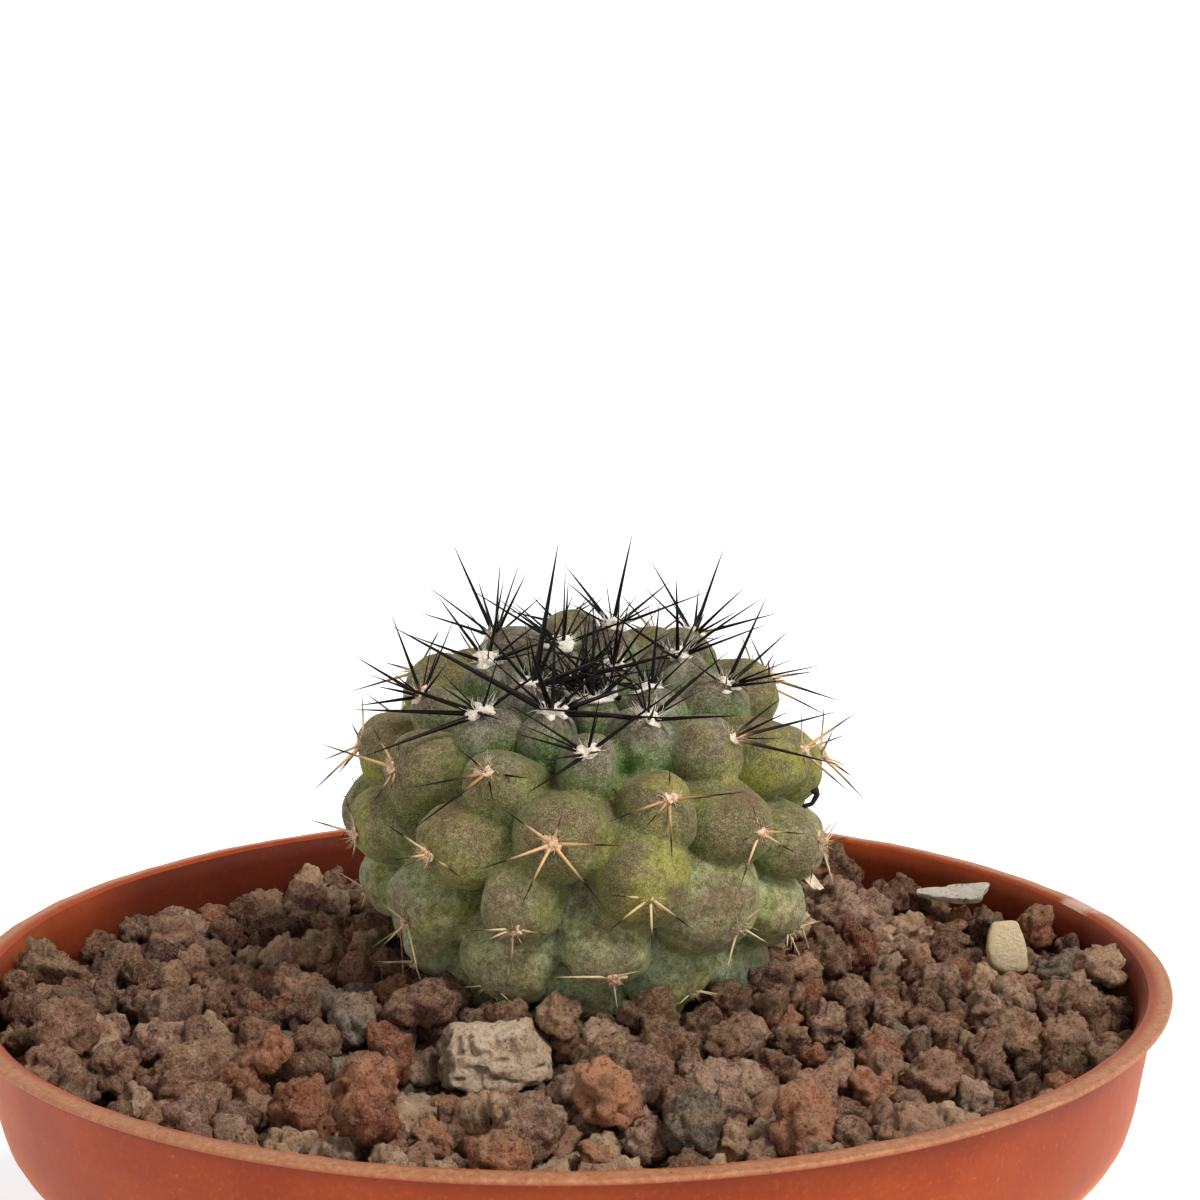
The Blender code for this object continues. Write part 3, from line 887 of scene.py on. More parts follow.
@dataclass(frozen=True)
class Growth:
    """The rule that the plant grows by: a spiral of areoles on a leaning stem."""

    ground: Triple = (1.9, 8.7, 27.0)
    lean: float = math.radians(10.5)
    first_angle: float = math.radians(224.5)
    golden_angle: float = math.radians(137.82)
    oval: float = 0.06
    tubercles: int = 73
    crown: int = 19
    # Areole number, distance from the stem's axis and height above the ground
    curve: tuple[Triple, ...] = (
        (0, 0.9, 25.4),
        (3, 2.8, 26.6),
        (7, 7.1, 27.6),
        (12, 10.8, 27.6),
        (19, 15.4, 26.2),
        (28, 19.5, 22.4),
        (39, 21.6, 16.7),
        (51, 20.6, 10.2),
        (65, 17.3, 4.6),
        (75, 14.2, 1.2),
    )

    def place(self) -> Array:
        """The plant's frame in the part's, as a 4 by 4 matrix in mm."""
        return np.array(Matrix.Translation(self.ground) @ Matrix.Rotation(self.lean, 4, "X"))

    def world(self, points: Array) -> Array:
        """Bring points of the plant's frame into the part's."""
        place = self.place()
        return points @ place[:3, :3].T + place[:3, 3]

    def local(self, points: Array) -> Array:
        """Bring points of the part's frame into the plant's."""
        place = self.place()
        return (points - place[:3, 3]) @ place[:3, :3]

    def curve_point(self, number: float) -> Array:
        """Read the smooth curve through the areole table.

        Args:
            number: Number of the areole, whole or not.

        Returns:
            Its distance from the axis and its height.
        """
        rows = self.curve
        number = min(max(number, 0.0), rows[-1][0] - 1e-6)
        k = max(i for i, row in enumerate(rows) if row[0] <= number)
        start, end = np.array(rows[k]), np.array(rows[k + 1])
        before, after = np.array(rows[max(k - 1, 0)]), np.array(rows[min(k + 2, len(rows) - 1)])
        span = end[0] - start[0]
        leaving = (end - before)[1:] / (end - before)[0] * span
        coming = (after - start)[1:] / (after - start)[0] * span
        t = (number - start[0]) / span
        return (
            (2 * t**3 - 3 * t**2 + 1) * start[1:] + (t**3 - 2 * t**2 + t) * leaving
            + (3 * t**2 - 2 * t**3) * end[1:] + (t**3 - t**2) * coming
        )

    def along(self, number: float) -> Array:
        """Direction of that curve at an areole, outwards and upwards."""
        return unit(self.curve_point(number + 0.5) - self.curve_point(max(number - 0.5, 0.0)))

    def areole(self, number: int) -> Areole:
        """Place one areole.

        Args:
            number: Its number.

        Returns:
            The areole.
        """
        radius, height = self.curve_point(number)
        along = self.along(number)
        turn = self.first_angle + self.golden_angle * number
        wide, deep = 1.0 - self.oval, 1.0 + self.oval
        spoke = np.array((math.cos(turn), math.sin(turn), 0.0))
        out = spoke * -along[1] + UP * along[0]
        out = unit(out / (wide, deep, 1.0))
        across = unit(np.cross(UP, out))
        step = np.linalg.norm(self.curve_point(number + 1.0) - (radius, height))
        point = np.array((spoke[0] * radius * wide, spoke[1] * radius * deep, height))
        return Areole(number, point, out, across, np.cross(out, across), math.sqrt(2.0 * radius * step))


@dataclass
class Stem:
    """The stem: a core with a tubercle at each areole, blended into one skin."""

    growth: Growth
    step: float = 0.35
    reach: Triple = (24.2, 24.8, 30.4)
    foot: float = -6.4
    root: tuple[Pair, ...] = ((11.6, 0.6), (11.2, -2.0), (9.6, -6.0))
    core_rings: tuple[int, ...] = (69, 59, 49, 41, 33, 26, 19, 13, 8)
    core_reach: float = 36.0
    crown_dish: float = 1.5
    groove: float = 6.1
    crown_groove: float = 2.4
    groove_fade: float = 14.0
    low_groove: float = 1.6
    low_numbers: Pair = (45.0, 70.0)
    # Tubercles by areole number: half width and half height as shares of their cell, height of the round
    # end, droop of the axis, and how softly they run into each other
    forms: tuple[tuple[float, ...], ...] = (
        (5, 0.72, 0.76, 3.4, 0.02, 0.15),
        (13, 0.68, 0.76, 3.7, 0.16, 0.2),
        (19, 0.68, 0.69, 3.8, 0.42, 0.3),
        (28, 0.73, 0.63, 4.0, 0.44, 0.35),
        (42, 0.80, 0.67, 4.2, 0.28, 0.5),
        (58, 0.90, 0.78, 3.9, 0.10, 0.8),
    )
    shaft: float = 3.4
    chin: float = 0.6
    chin_numbers: Pair = (14.0, 24.0)
    blocky: float = 2.4
    vary: float = 0.09
    form_seed: int = 40
    # Unevenness of the skin: depth, size and seed
    uneven: tuple[tuple[float, float, int], ...] = ((0.9, 4.2, 21), (0.32, 1.5, 22))
    tint_seed: int = 5
    tint_reach: float = 0.45

    def __post_init__(self) -> None:
        """Grow the stem on a grid."""
        self.spots = [self.growth.areole(number) for number in range(self.growth.tubercles)]
        self.corner = np.array((-self.reach[0], -self.reach[1], self.foot))
        self.lines = [np.arange(low, high, self.step) for low, high in zip(self.corner, self.reach)]
        self.core = self.core_distance()
        self.values = self.grow()

    def groove_depth(self, number: float) -> float:
        """How far the core lies under an areole: deepest on the crown, least at the foot."""
        low = self.low_groove * float(ease(*self.low_numbers, number))
        return self.groove + self.crown_groove * math.exp(-number / self.groove_fade) - low

    def outline(self) -> Array:
        """The core's outline from the root's cut to the crown, as rows of radius and height."""
        core = []
        for number in self.core_rings:
            radius, height = self.growth.curve_point(number)
            along = self.growth.along(number)
            depth = self.groove_depth(number)
            core.append((radius + depth * along[1], height - depth * along[0]))
        root = list(self.root[::-1])
        return np.array([(0.0, root[0][1]), *root, *core, (0.0, core[-1][1] - self.crown_dish)])

    def core_distance(self) -> Array:
        """Signed distance to the core at each point of the grid, negative inside it."""
        outline = self.outline()
        radii = np.arange(0.0, self.core_reach, self.step)
        heights = self.lines[2]
        spots = np.stack(np.meshgrid(radii, heights, indexing="ij"), axis=-1).reshape(-1, 1, 2)
        start, end = outline[:-1], outline[1:]
        run = end - start
        share = np.clip(((spots - start) * run).sum(-1) / (run * run).sum(-1), 0.0, 1.0)
        distance = np.linalg.norm(spots - start - share[..., None] * run, axis=-1).min(axis=1)
        level = (start[:, 1] <= spots[..., 1]) != (end[:, 1] <= spots[..., 1])
        rise = np.where(run[:, 1] == 0.0, 1.0, run[:, 1])
        crossing = start[:, 0] + (spots[..., 1] - start[:, 1]) / rise * run[:, 0]
        inside = (level & (crossing > spots[..., 0])).sum(axis=1) % 2 == 1
        table = np.where(inside, -distance, distance).reshape(len(radii), len(heights))
        x, y = np.meshgrid(self.lines[0], self.lines[1], indexing="ij")
        away = np.hypot(x / (1.0 - self.growth.oval), y / (1.0 + self.growth.oval)) / self.step
        row = away.astype(int)
        part = (away - row)[..., None]
        return (1.0 - part) * table[row] + part * table[row + 1]

    def form(self, number: int) -> list[float]:
        """Read the table of tubercle forms: width, height, length of the end, droop and softness."""
        table = np.array(self.forms)
        return [float(np.interp(number, table[:, 0], column)) for column in table[:, 1:].T]

    def finger(self, spot: Areole) -> tuple[Array, Array, Array]:
        """Shape of one tubercle: a blunt round end on a short shaft.

        Args:
            spot: Its areole.

        Returns:
            The middle of its end, its three axes in rows, and its half sizes along them.
        """
        wide, high, end, droop, _ = self.form(spot.number)
        draw = random.Random(self.form_seed + spot.number)
        sway = [draw.gauss(0.0, self.vary) for _ in range(4)]
        axis = unit(spot.out - (droop + sway[0]) * spot.up + sway[1] * spot.across)
        size = np.array((spot.cell * wide * (1.0 + sway[2]), spot.cell * high * (1.0 + sway[3]), end))
        grown = float(ease(*self.chin_numbers, spot.number))
        centre = spot.point - axis * end - spot.up * self.chin * grown
        return centre, np.stack((spot.across, np.cross(axis, spot.across), axis)), size

    def finger_distance(self, spot: Areole, points: Array) -> Array:
        """Signed distance of points from one tubercle, negative inside it.

        Args:
            spot: Its areole.
            points: The points, in the plant's frame.

        Returns:
            The distances.
        """
        centre, axes, size = self.finger(spot)
        inner = (points - centre) @ axes.T
        along = inner[..., 2]
        inner[..., 2] = np.where(along < -self.shaft, along + self.shaft, np.maximum(along, 0.0))
        share = np.abs(inner / size)
        near = np.maximum((share**self.blocky).sum(-1) ** (1.0 / self.blocky), 0.05)
        slope = np.linalg.norm((share / near[..., None]) ** (self.blocky - 1.0) / size, axis=-1)
        return (near - 1.0) / np.maximum(slope, 1e-6)

    def grow(self) -> Array:
        """Blend the core and all tubercles on the grid."""
        values = self.core.copy()
        for spot in self.spots:
            centre, _, size = self.finger(spot)
            reach = size.max() + self.shaft + 2.0
            cut = tuple(
                slice(*np.searchsorted(line, (centre[k] - reach, centre[k] + reach)))
                for k, line in enumerate(self.lines)
            )
            lines = [line[part] for line, part in zip(self.lines, cut)]
            near = np.stack(np.meshgrid(*lines, indexing="ij"), axis=-1)
            distance = self.finger_distance(spot, near)
            soft = self.form(spot.number)[-1]
            share = np.clip(0.5 + 0.5 * (values[cut] - distance) / soft, 0.0, 1.0)
            values[cut] = (1.0 - share) * values[cut] + share * distance - soft * share * (1.0 - share)
        return values

    def read(self, grid: Array, points: Array) -> tuple[Array, Array]:
        """Read a grid between its points.

        Args:
            grid: The grid's values.
            points: Where it is read, in the plant's frame.

        Returns:
            The values there, and how far each point lies outside the grid.
        """
        spots = (points - self.corner) / self.step
        held = np.clip(spots, 0.0, np.array(grid.shape) - 2)
        cell = held.astype(int)
        return between(grid, cell, held - cell), np.linalg.norm(spots - held, axis=1) * self.step

    def distance(self, points: Array) -> Array:
        """Distance of points of the plant's frame from the skin, negative inside the stem."""
        value, outside = self.read(self.values, points)
        return value + outside

    def slope(self, points: Array) -> Array:
        """Direction away from the skin at points.

        Args:
            points: The points, in the plant's frame.

        Returns:
            Unit vectors.
        """
        nudges = np.eye(3) * self.step
        rises = [self.distance(points + nudge) - self.distance(points - nudge) for nudge in nudges]
        return unit(np.stack(rises, axis=1))

    def seat(self, spot: Areole, sunk: float = 0.0) -> Array:
        """Where an areole's spines and wool start: on the skin, or sunk under it."""
        return spot.point - spot.out * (float(self.distance(spot.point[None])[0]) + sunk)

    def drawn_on(self, points: Array, gap: float = 0.0) -> Array:
        """Draw points onto the skin.

        Args:
            points: The points, in the plant's frame.
            gap: How far they stay off the skin; below 0, they sink into it.

        Returns:
            The moved points.
        """
        for _ in range(3):
            points = points - self.slope(points) * (self.distance(points) - gap)[:, None]
        return points

    def marks(self, points: Array) -> dict[str, Array]:
        """What the skin's finish reads at points.

        Args:
            points: The points, in the plant's frame.

        Returns:
            Height out of the groove, age, place above or below the areole and a tint of each tubercle's
            own, all from 0 to 1.
        """
        draw = random.Random(self.tint_seed)
        total = np.full(len(points), 1e-9)
        sums = {name: np.zeros(len(points)) for name in ("age", "rise", "tint", "depth")}
        for spot in self.spots:
            weight = np.exp(-np.maximum(self.finger_distance(spot, points), 0.0) / self.tint_reach)
            total += weight
            sums["age"] += weight * spot.number / self.growth.tubercles
            above = 0.5 * ((points - spot.point) @ spot.up) / spot.cell
            sums["rise"] += weight * np.clip(0.5 + above, 0.0, 1.0)
            sums["tint"] += weight * draw.random()
            sums["depth"] += weight * self.groove_depth(spot.number)
        marks = {name: value / total for name, value in sums.items()}
        height, _ = self.read(self.core, points)
        marks["tip"] = np.clip(height / np.maximum(marks.pop("depth"), 1.0), 0.0, 1.0)
        return marks

    def build(self) -> bpy.types.Object:
        """Make the stem."""
        points, faces = surface_net(self.values, self.corner, self.step)
        points = relaxed(points, faces, 1)
        out = self.slope(points)
        marks = self.marks(points)
        push = sum(depth * (Ripple(seed).at(points / size) - 0.5) for depth, size, seed in self.uneven)
        points = points + out * push[:, None]
        shape = Shape()
        shape.add(self.growth.world(points), faces, **marks)
        return shape.build("cactus_stem", SkinFinish().material(), "cactus", "cactus")


@dataclass
class Spines:
    """The spines: the stars that face the viewer, and all others by a rule."""

    growth: Growth
    stem: Stem
    seed: int = 3
    fine_seed: int = 17
    sides: int = 6
    rings: int = 8
    root: float = 1.2
    sunk: float = 0.3
    longest: float = 12.0
    clear_of_grit: float = 3.2
    bare_from: int = 63
    black_to: int = 16
    sway: float = 24.0
    # Thickness on the crown (least, gain with length, power of that gain) and further down (least, gain)
    crown_thick: Triple = (0.11, 0.21, 1.7)
    low_thick: Pair = (0.14, 0.08)
    thickest: float = 0.34
    fine_scale: float = 0.75
    # Fine spines on the crown and further down: how many, shortest, longest
    fine_crown: tuple[int, float, float] = (5, 4.0, 10.5)
    fine_low: tuple[int, float, float] = (2, 2.0, 4.2)
    fine_lift: Pair = (12.0, 48.0)
    # Fine spines of the innermost areoles stand up more and are shorter
    inner: int = 5
    inner_steeper: float = 1.2
    inner_lift: float = 26.0
    inner_longest: float = 8.6
    central_lift: Pair = (70.0, 82.0)
    central_length: Pair = (7.0, 9.5)
    # Rays by age, up to the areole named first: how many, lift off the skin in degrees, longest
    rays: tuple[tuple[int, int, float, float], ...] = (
        (19, 4, 30.0, 8.0), (49, 4, 22.0, 6.6), (63, 2, 25.0, 4.6)
    )
    # Stars by areole: angle from the stem's top and lift off the skin in degrees, length
    stars: dict[int, tuple[Triple, ...]] = field(default_factory=lambda: {
        5: ((175, 80, 9.0), (85, 80, 12.5), (-175, 25, 13.5), (-105, 35, 13.0), (60, 30, 8.0)),
        8: ((155, 75, 9.0), (-145, 10, 10.0), (-90, 8, 11.0), (75, 25, 15.0), (-10, 50, 12.0)),
        11: ((-105, 88, 5.0), (155, 20, 9.0), (90, 30, 9.0), (-80, 15, 11.0)),
        13: ((45, 65, 6.0), (180, 5, 11.0), (-120, 15, 10.5), (-135, 5, 11.0), (-95, 8, 6.0)),
        16: ((85, 80, 6.0), (-140, 5, 7.5), (-105, 30, 7.0), (20, 40, 4.0)),
        19: ((110, 10, 11.0), (-175, 65, 7.0), (140, 5, 10.0), (95, 30, 6.0)),
        21: ((-90, 60, 3.2), (-150, 35, 7.0), (-175, 25, 9.0), (85, 5, 4.2), (140, 5, 3.0)),
        24: ((115, 40, 6.5), (-160, 10, 6.0), (-100, 5, 6.0), (-125, 15, 4.0), (0, 50, 3.0)),
        26: ((-65, 30, 4.5), (-110, 30, 7.5), (160, 10, 3.5), (15, 35, 3.0)),
        27: ((100, 35, 6.8), (160, 5, 6.0), (-105, 10, 2.5), (120, 50, 4.2)),
        29: ((-60, 40, 5.2), (20, 35, 3.0), (90, 20, 6.2), (135, 20, 7.0), (-165, 30, 6.5), (-120, 35, 6.8)),
        32: ((145, 75, 4.2), (180, 55, 4.0), (-90, 5, 2.5), (-125, 5, 5.6)),
        34: ((-35, 60, 5.0), (-130, 70, 3.2), (100, 5, 4.2)),
        37: ((-75, 15, 3.8), (-110, 30, 5.5), (-165, 40, 5.0), (130, 55, 5.0)),
        39: ((-85, 50, 4.5), (150, 15, 3.0)),
        40: ((-10, 70, 3.0), (-125, 5, 4.0)),
        42: ((-70, 45, 3.8), (-100, 50, 3.2), (85, 10, 3.2)),
        50: ((-75, 10, 5.2), (60, 15, 2.6)),
    })

    def main_ones(self, number: int, draw: random.Random) -> list[Triple]:
        """An areole's main spines, the same as in its solid.

        Args:
            number: The areole's number.
            draw: The seeded draw.

        Returns:
            Angle from the stem's top, lift off the skin and length of each.
        """
        chance = [draw.random() for _ in range(16)]
        if number in self.stars:
            return list(self.stars[number])
        if number >= self.bare_from:
            return []
        found = []
        if number < self.growth.crown:
            lift = self.central_lift[0] + (self.central_lift[1] - self.central_lift[0]) * chance[1]
            length = self.central_length[0] + (self.central_length[1] - self.central_length[0]) * chance[2]
            found.append((360.0 * chance[0], lift, length))
        rays, lift, longest = next(rule[1:] for rule in self.rays if number < rule[0])
        for k in range(rays):
            side = 360.0 * (k + 0.5) / rays + self.sway * (chance[3 + k] - 0.5)
            length = longest * (0.75 - 0.2 * math.cos(math.radians(side)) + 0.2 * chance[9 + k])
            length *= 1.0 - 0.35 * float(ease(36.0, 46.0, number))
            found.append((side, lift, length))
        return found

    def fine_ones(self, number: int, draw: random.Random) -> Iterator[Triple]:
        """An areole's finer spines, which its solid leaves out.

        Args:
            number: The areole's number.
            draw: The seeded draw.

        Yields:
            Angle from the stem's top, lift off the skin and length of each.
        """
        if number >= self.bare_from + 6:
            return
        crown = number < self.growth.crown
        count, shortest, longest = self.fine_crown if crown else self.fine_low
        if number in self.stars and not crown:
            count = 1
        for _ in range(count):
            length = draw.uniform(shortest, longest)
            side, lift = draw.uniform(0.0, 360.0), draw.uniform(*self.fine_lift)
            if number < self.inner:
                lift, length = self.inner_steeper * lift + self.inner_lift, min(length, self.inner_longest)
            yield side, lift, length

    def thickness(self, spot: Areole, length: float) -> float:
        """How thick a spine is at its foot.

        Args:
            spot: Its areole.
            length: Its length.

        Returns:
            Its radius there.
        """
        if spot.number < self.growth.crown:
            least, gain, power = self.crown_thick
            return min(least + gain * (length / self.longest) ** power, self.thickest)
        least, gain = self.low_thick
        return min(least + gain * length / self.longest, self.thickest)

    def darkness(self, number: int, along: Array) -> Array | float:
        """How dark a spine is: black all along on the crown, straw with a shorter dark end on older ones.

        Args:
            number: Number of its areole.
            along: Places along it, from 0 to 1.

        Returns:
            The darkness at each place, or one value for all.
        """
        if number <= self.black_to:
            return 1.0
        starts = float(ease(16.0, 26.0, number)) * (0.54 + 0.4 * float(ease(38.0, 52.0, number)))
        return ease(starts - 0.16, starts + 0.12, along)

    def spine(
        self, shape: Shape, spot: Areole, way: Triple, scale: float, draw: random.Random
    ) -> None:
        """Add one spine, bent clear of the grit.

        Args:
            shape: What it is added to.
            spot: Its areole.
            way: Angle from the stem's top, lift off the skin and length.
            scale: Its thickness as a share of a main spine's.
            draw: The seeded draw for its bow.
        """
        side, lift, length = math.radians(way[0]), math.radians(way[1]), way[2]
        flat = spot.up * math.cos(side) + spot.across * math.sin(side)
        turn = self.growth.place()[:3, :3]
        aim = unit(turn @ (flat * math.cos(lift) + spot.out * math.sin(lift)))
        base = self.growth.world(self.stem.seat(spot) - self.sunk * spot.out)
        lowest = self.growth.ground[2] + self.clear_of_grit
        if (base + aim * length)[2] < lowest:
            aim[2] = (lowest - base[2]) / length
            aim = unit(aim)
        bow = unit(np.cross(aim, UP) * draw.uniform(-1.0, 1.0) + UP * 0.35) * draw.uniform(-0.03, 0.05)
        share = np.linspace(0.0, 1.0, self.rings)
        run = share * (length + self.root) - self.root
        arch = np.clip(run / length, 0.0, 1.0)
        path = base + aim * run[:, None] + bow * (length * (arch - arch**2) * 1.6)[:, None]
        radii = self.thickness(spot, length) * scale * np.maximum((1.0 - share) ** 0.75, 0.03)
        points, faces = tube(path, radii, self.sides)
        along = np.append(np.repeat(arch, self.sides), (0.0, 1.0))
        dark, pale = self.darkness(spot.number, along), float(ease(18.0, 46.0, spot.number))
        shape.add(points, faces, dark=dark, pale=pale)

    def build(self) -> bpy.types.Object:
        """Make all spines as one piece."""
        shape = Shape()
        draw, fine = random.Random(self.seed), random.Random(self.fine_seed)
        for spot in self.stem.spots:
            for way in self.main_ones(spot.number, draw):
                self.spine(shape, spot, way, 1.0, fine)
            for way in self.fine_ones(spot.number, fine):
                self.spine(shape, spot, way, self.fine_scale, fine)
        return shape.build("cactus_spines", SpineFinish().material(), "cactus", "cactus")


@dataclass
class Wool:
    """The woolly cushions of the areoles: a matted pad with loose fibres."""

    growth: Growth
    stem: Stem
    seed: int = 8
    last: int = 62
    cuts: int = 7
    radius: float = 0.6
    crown_radius: float = 0.88
    height: float = 0.42
    sunk: float = 0.1
    # Areole numbers between which the cushions stop being widest and young, and grow old
    centre_to: Pair = (4.0, 10.0)
    young_to: Pair = (12.0, 26.0)
    old_from: Pair = (38.0, 60.0)
    fibres: int = 44
    fibre_length: Pair = (0.5, 1.15)
    fibre_radius: float = 0.045

    def cushion(self, shape: Shape, spot: Areole, draw: random.Random) -> None:
        """Add one areole's cushion.

        Args:
            shape: What it is added to.
            spot: The areole.
            draw: The seeded draw.
        """
        young = 1.0 - float(ease(*self.young_to, spot.number))
        old = float(ease(*self.old_from, spot.number))
        centre = 1.0 + 0.35 * (1.0 - float(ease(*self.centre_to, spot.number)))
        width = (self.radius + (self.crown_radius - self.radius) * young) * (1.0 - 0.35 * old)
        width *= centre * draw.uniform(0.85, 1.15)
        seat = self.stem.seat(spot, self.sunk)
        axes = np.stack((spot.across, spot.up, spot.out))
        dome, faces = ball(self.cuts)
        rough = 1.0 + 1.5 * (LUMPS.at(dome * 1.9 + spot.number * 3.7) - 0.5)
        points = dome * rough[:, None] * (width, width * 0.9, self.height * (0.7 + 0.6 * young))
        age = spot.number / self.growth.tubercles
        matted = 0.25 + 0.75 * (1.0 - young)
        shape.add(self.growth.world(seat + points @ axes), faces, age=age, matted=matted)
        for _ in range(int(self.fibres * (0.6 + 0.8 * young) * (1.0 - 0.5 * old))):
            turn, spread = draw.uniform(0.0, math.tau), math.sqrt(draw.random())
            spoke = np.array((math.cos(turn), math.sin(turn), 0.0))
            foot = spoke * spread * width * 0.8
            lean = spoke * draw.uniform(0.2, 1.5) + UP * draw.uniform(0.3, 1.0)
            curl = np.array([draw.uniform(-1.0, 1.0) for _ in range(3)]) * 0.5
            length = draw.uniform(*self.fibre_length) * (0.75 + 0.35 * young)
            share = np.linspace(0.0, 1.0, 4)[:, None]
            path = foot + UP * 0.05 + unit(lean) * length * share + curl * length * share**2
            radii = self.fibre_radius * (1.0 - 0.8 * share[:, 0])
            points, faces = tube(path, radii, 3)
            shape.add(self.growth.world(seat + points @ axes), faces, age=age, matted=0.4 * matted)

    def build(self) -> bpy.types.Object:
        """Make the wool of every areole that still has some."""
        shape = Shape()
        draw = random.Random(self.seed)
        for spot in self.stem.spots[: self.last]:
            self.cushion(shape, spot, draw)
        return shape.build("areole_wool", WoolFinish().material(), "cactus", "cactus")


@dataclass
class Pan:
    """The pan: a shallow turned bowl with a thin flat lip, a foot ring and drain holes."""

    rim_radius: float = 50.0
    height: float = 30.0
    lip_width: float = 1.7
    lip_thickness: float = 0.55
    lip_drop: float = 0.12
    flare_width: float = 1.4
    flare_height: float = 2.0
    wall: float = 1.0
    draft: float = math.radians(3.0)
    straight: float = 3.9
    arc: float = 23.0
    foot_radius: float = 29.0
    foot_width: float = 1.6
    drain_holes: int = 5
    drain_radius: float = 2.5
    drain_ring: float = 15.0
    # How far the side is drawn in: just under the lip, over these heights, and below a height
    tuck_upper: float = 0.4
    tuck_heights: Pair = (27.0, 23.0)
    tuck_lower: float = 1.6
    tuck_below: float = 18.8
    tuck_reach: float = 3.2
    # Unevenness of the worn lip, and how far and where the rim is bent in and lifted
    dents: float = 0.12
    dent_size: float = 2.5
    dent_heights: Pair = (29.0, 30.0)
    warp: float = 0.35
    warp_heights: Pair = (18.0, 30.0)
    lifted: float = 0.6
    lifted_at: float = 2.1
    lifted_heights: Pair = (20.0, 29.0)
    sides: int = 224
    arc_steps: int = 26
    lip_steps: int = 8
    flare_steps: int = 10

    def arc_points(self, inset: float, steps: int) -> list[Pair]:
        """The bowl's side from its floor to its straight wall.

        Args:
            inset: How far it lies inside the outer face.
            steps: Stretches along it.

        Returns:
            Radius and height of its points.
        """
        wall_foot = self.height - self.lip_thickness - self.straight
        wall_radius = self.rim_radius - self.lip_width - self.straight * math.tan(self.draft)
        middle_r = wall_radius - self.arc * math.cos(self.draft)
        middle_z = wall_foot + self.arc * math.sin(self.draft)
        radius = self.arc - inset
        turns = [math.pi / 2 + (self.draft - math.pi / 2) * k / steps for k in range(steps + 1)]
        points = [(middle_r + radius * math.cos(t), middle_z - radius * math.sin(t)) for t in turns]
        return [(r - self.tuck(z) * min(r / self.foot_radius, 1.0) ** 4, z) for r, z in points]

    def tuck(self, height: float) -> float:
        """How far the side is drawn in at a height, as its outline in the picture is.

        Args:
            height: The height.

        Returns:
            The distance.
        """
        below = max(self.tuck_below - height, 0.0) / self.tuck_reach
        upper = self.tuck_upper * float(ease(*self.tuck_heights, height))
        return upper + self.tuck_lower * (1.0 - math.exp(-(below**1.6)))

    def outline(self) -> list[Pair]:
        """The pan's whole section, from under its middle, up its outside and down its inside."""
        outer, inner = (self.arc_points(inset, self.arc_steps) for inset in (0.0, self.wall))
        floor = outer[0][1]
        inset = self.foot_radius - self.foot_width
        foot_top = next(z for r, z in outer if r > self.foot_radius)
        under = [(0.0, floor), (inset - 6.0, floor), (inset, floor - 0.1), (inset, 0.3), (inset + 0.3, 0.0)]
        foot = [(self.foot_radius - 0.3, 0.0), (self.foot_radius, 0.3), (self.foot_radius, foot_top - 0.4)]
        side = [(r, z) for r, z in outer if r > self.foot_radius + 0.2]
        lip_z = self.height - self.lip_thickness
        wall_top = self.rim_radius - self.lip_width
        half = self.lip_thickness / 2
        round_lip = [
            (self.rim_radius - half + half * math.cos(t), lip_z - self.lip_drop + half + half * math.sin(t))
            for t in np.linspace(-math.pi / 2, math.pi / 2, self.lip_steps + 1)
        ]
        mouth, wide, high = wall_top - self.wall, self.flare_width, self.flare_height
        flare = [
            (mouth + wide * (1.0 - math.sin(t)), self.height - high * (1.0 - math.cos(t)))
            for t in np.linspace(0.0, math.pi / 2, self.flare_steps + 1)
        ]
        fillet = [(wall_top + out, lip_z - down) for out, down in ((-0.04, 0.8), (0.06, 0.35), (0.4, 0.1))]
        return under + foot + side + fillet + round_lip + flare + inner[::-1] + [(0.0, inner[0][1])]

    def build(self) -> bpy.types.Object:
        """Make the pan, a little out of round as a thin moulded one is."""
        points, blocks = turned(self.outline(), self.sides)
        turn = np.arctan2(points[:, 1], points[:, 0])
        bent = 0.5 + 0.3 * np.cos(2 * turn + 0.6) + 0.2 * np.cos(3 * turn)
        give = self.warp * ease(*self.warp_heights, points[:, 2]) * bent
        away = np.hypot(points[:, 0], points[:, 1])
        points[:, :2] *= (1.0 - give / np.maximum(away, 1.0))[:, None]
        dents = Ripple(81).at(points / self.dent_size)
        points[:, 2] -= self.dents * ease(*self.dent_heights, points[:, 2]) * dents
        facing = np.maximum(np.cos(turn - self.lifted_at), 0.0)
        points[:, 2] += self.lifted * facing * ease(*self.lifted_heights, points[:, 2])
        shape = Shape()
        shape.add(points, blocks)
        piece = shape.build("pan", PlasticFinish().material(), "pot", "pot")
        # The inside takes a darker copy of the plastic, as painted shade
        piece.data.materials.append(StainedShadedFinish().material())
        inside = (len(self.outline()) - 1 - self.arc_steps - self.flare_steps) * self.sides
        walls = len(blocks[0])
        polygons = piece.data.polygons
        for face in (*polygons[inside:walls], *polygons[walls + self.sides :]):
            face.material_index = 1
        self.drain(piece)
        return piece

    def drain(self, pan: bpy.types.Object) -> None:
        """Cut the drain holes.

        Args:
            pan: The pan.
        """
        bm = bmesh.new()
        for k in range(self.drain_holes):
            turn = math.tau * (k + 0.5) / self.drain_holes
            at = Vector((math.cos(turn), math.sin(turn), 0.0)) * self.drain_ring
            at.z = self.arc_points(0.0, 1)[0][1]
            radius = self.drain_radius * MM
            bmesh.ops.create_cone(
                bm, cap_ends=True, segments=40, radius1=radius, radius2=radius, depth=6.0 * MM,
                matrix=Matrix.Translation(at * MM),
            )
        mesh = bpy.data.meshes.new("drains")
        bm.to_mesh(mesh)
        bm.free()
        carve(pan, mesh)


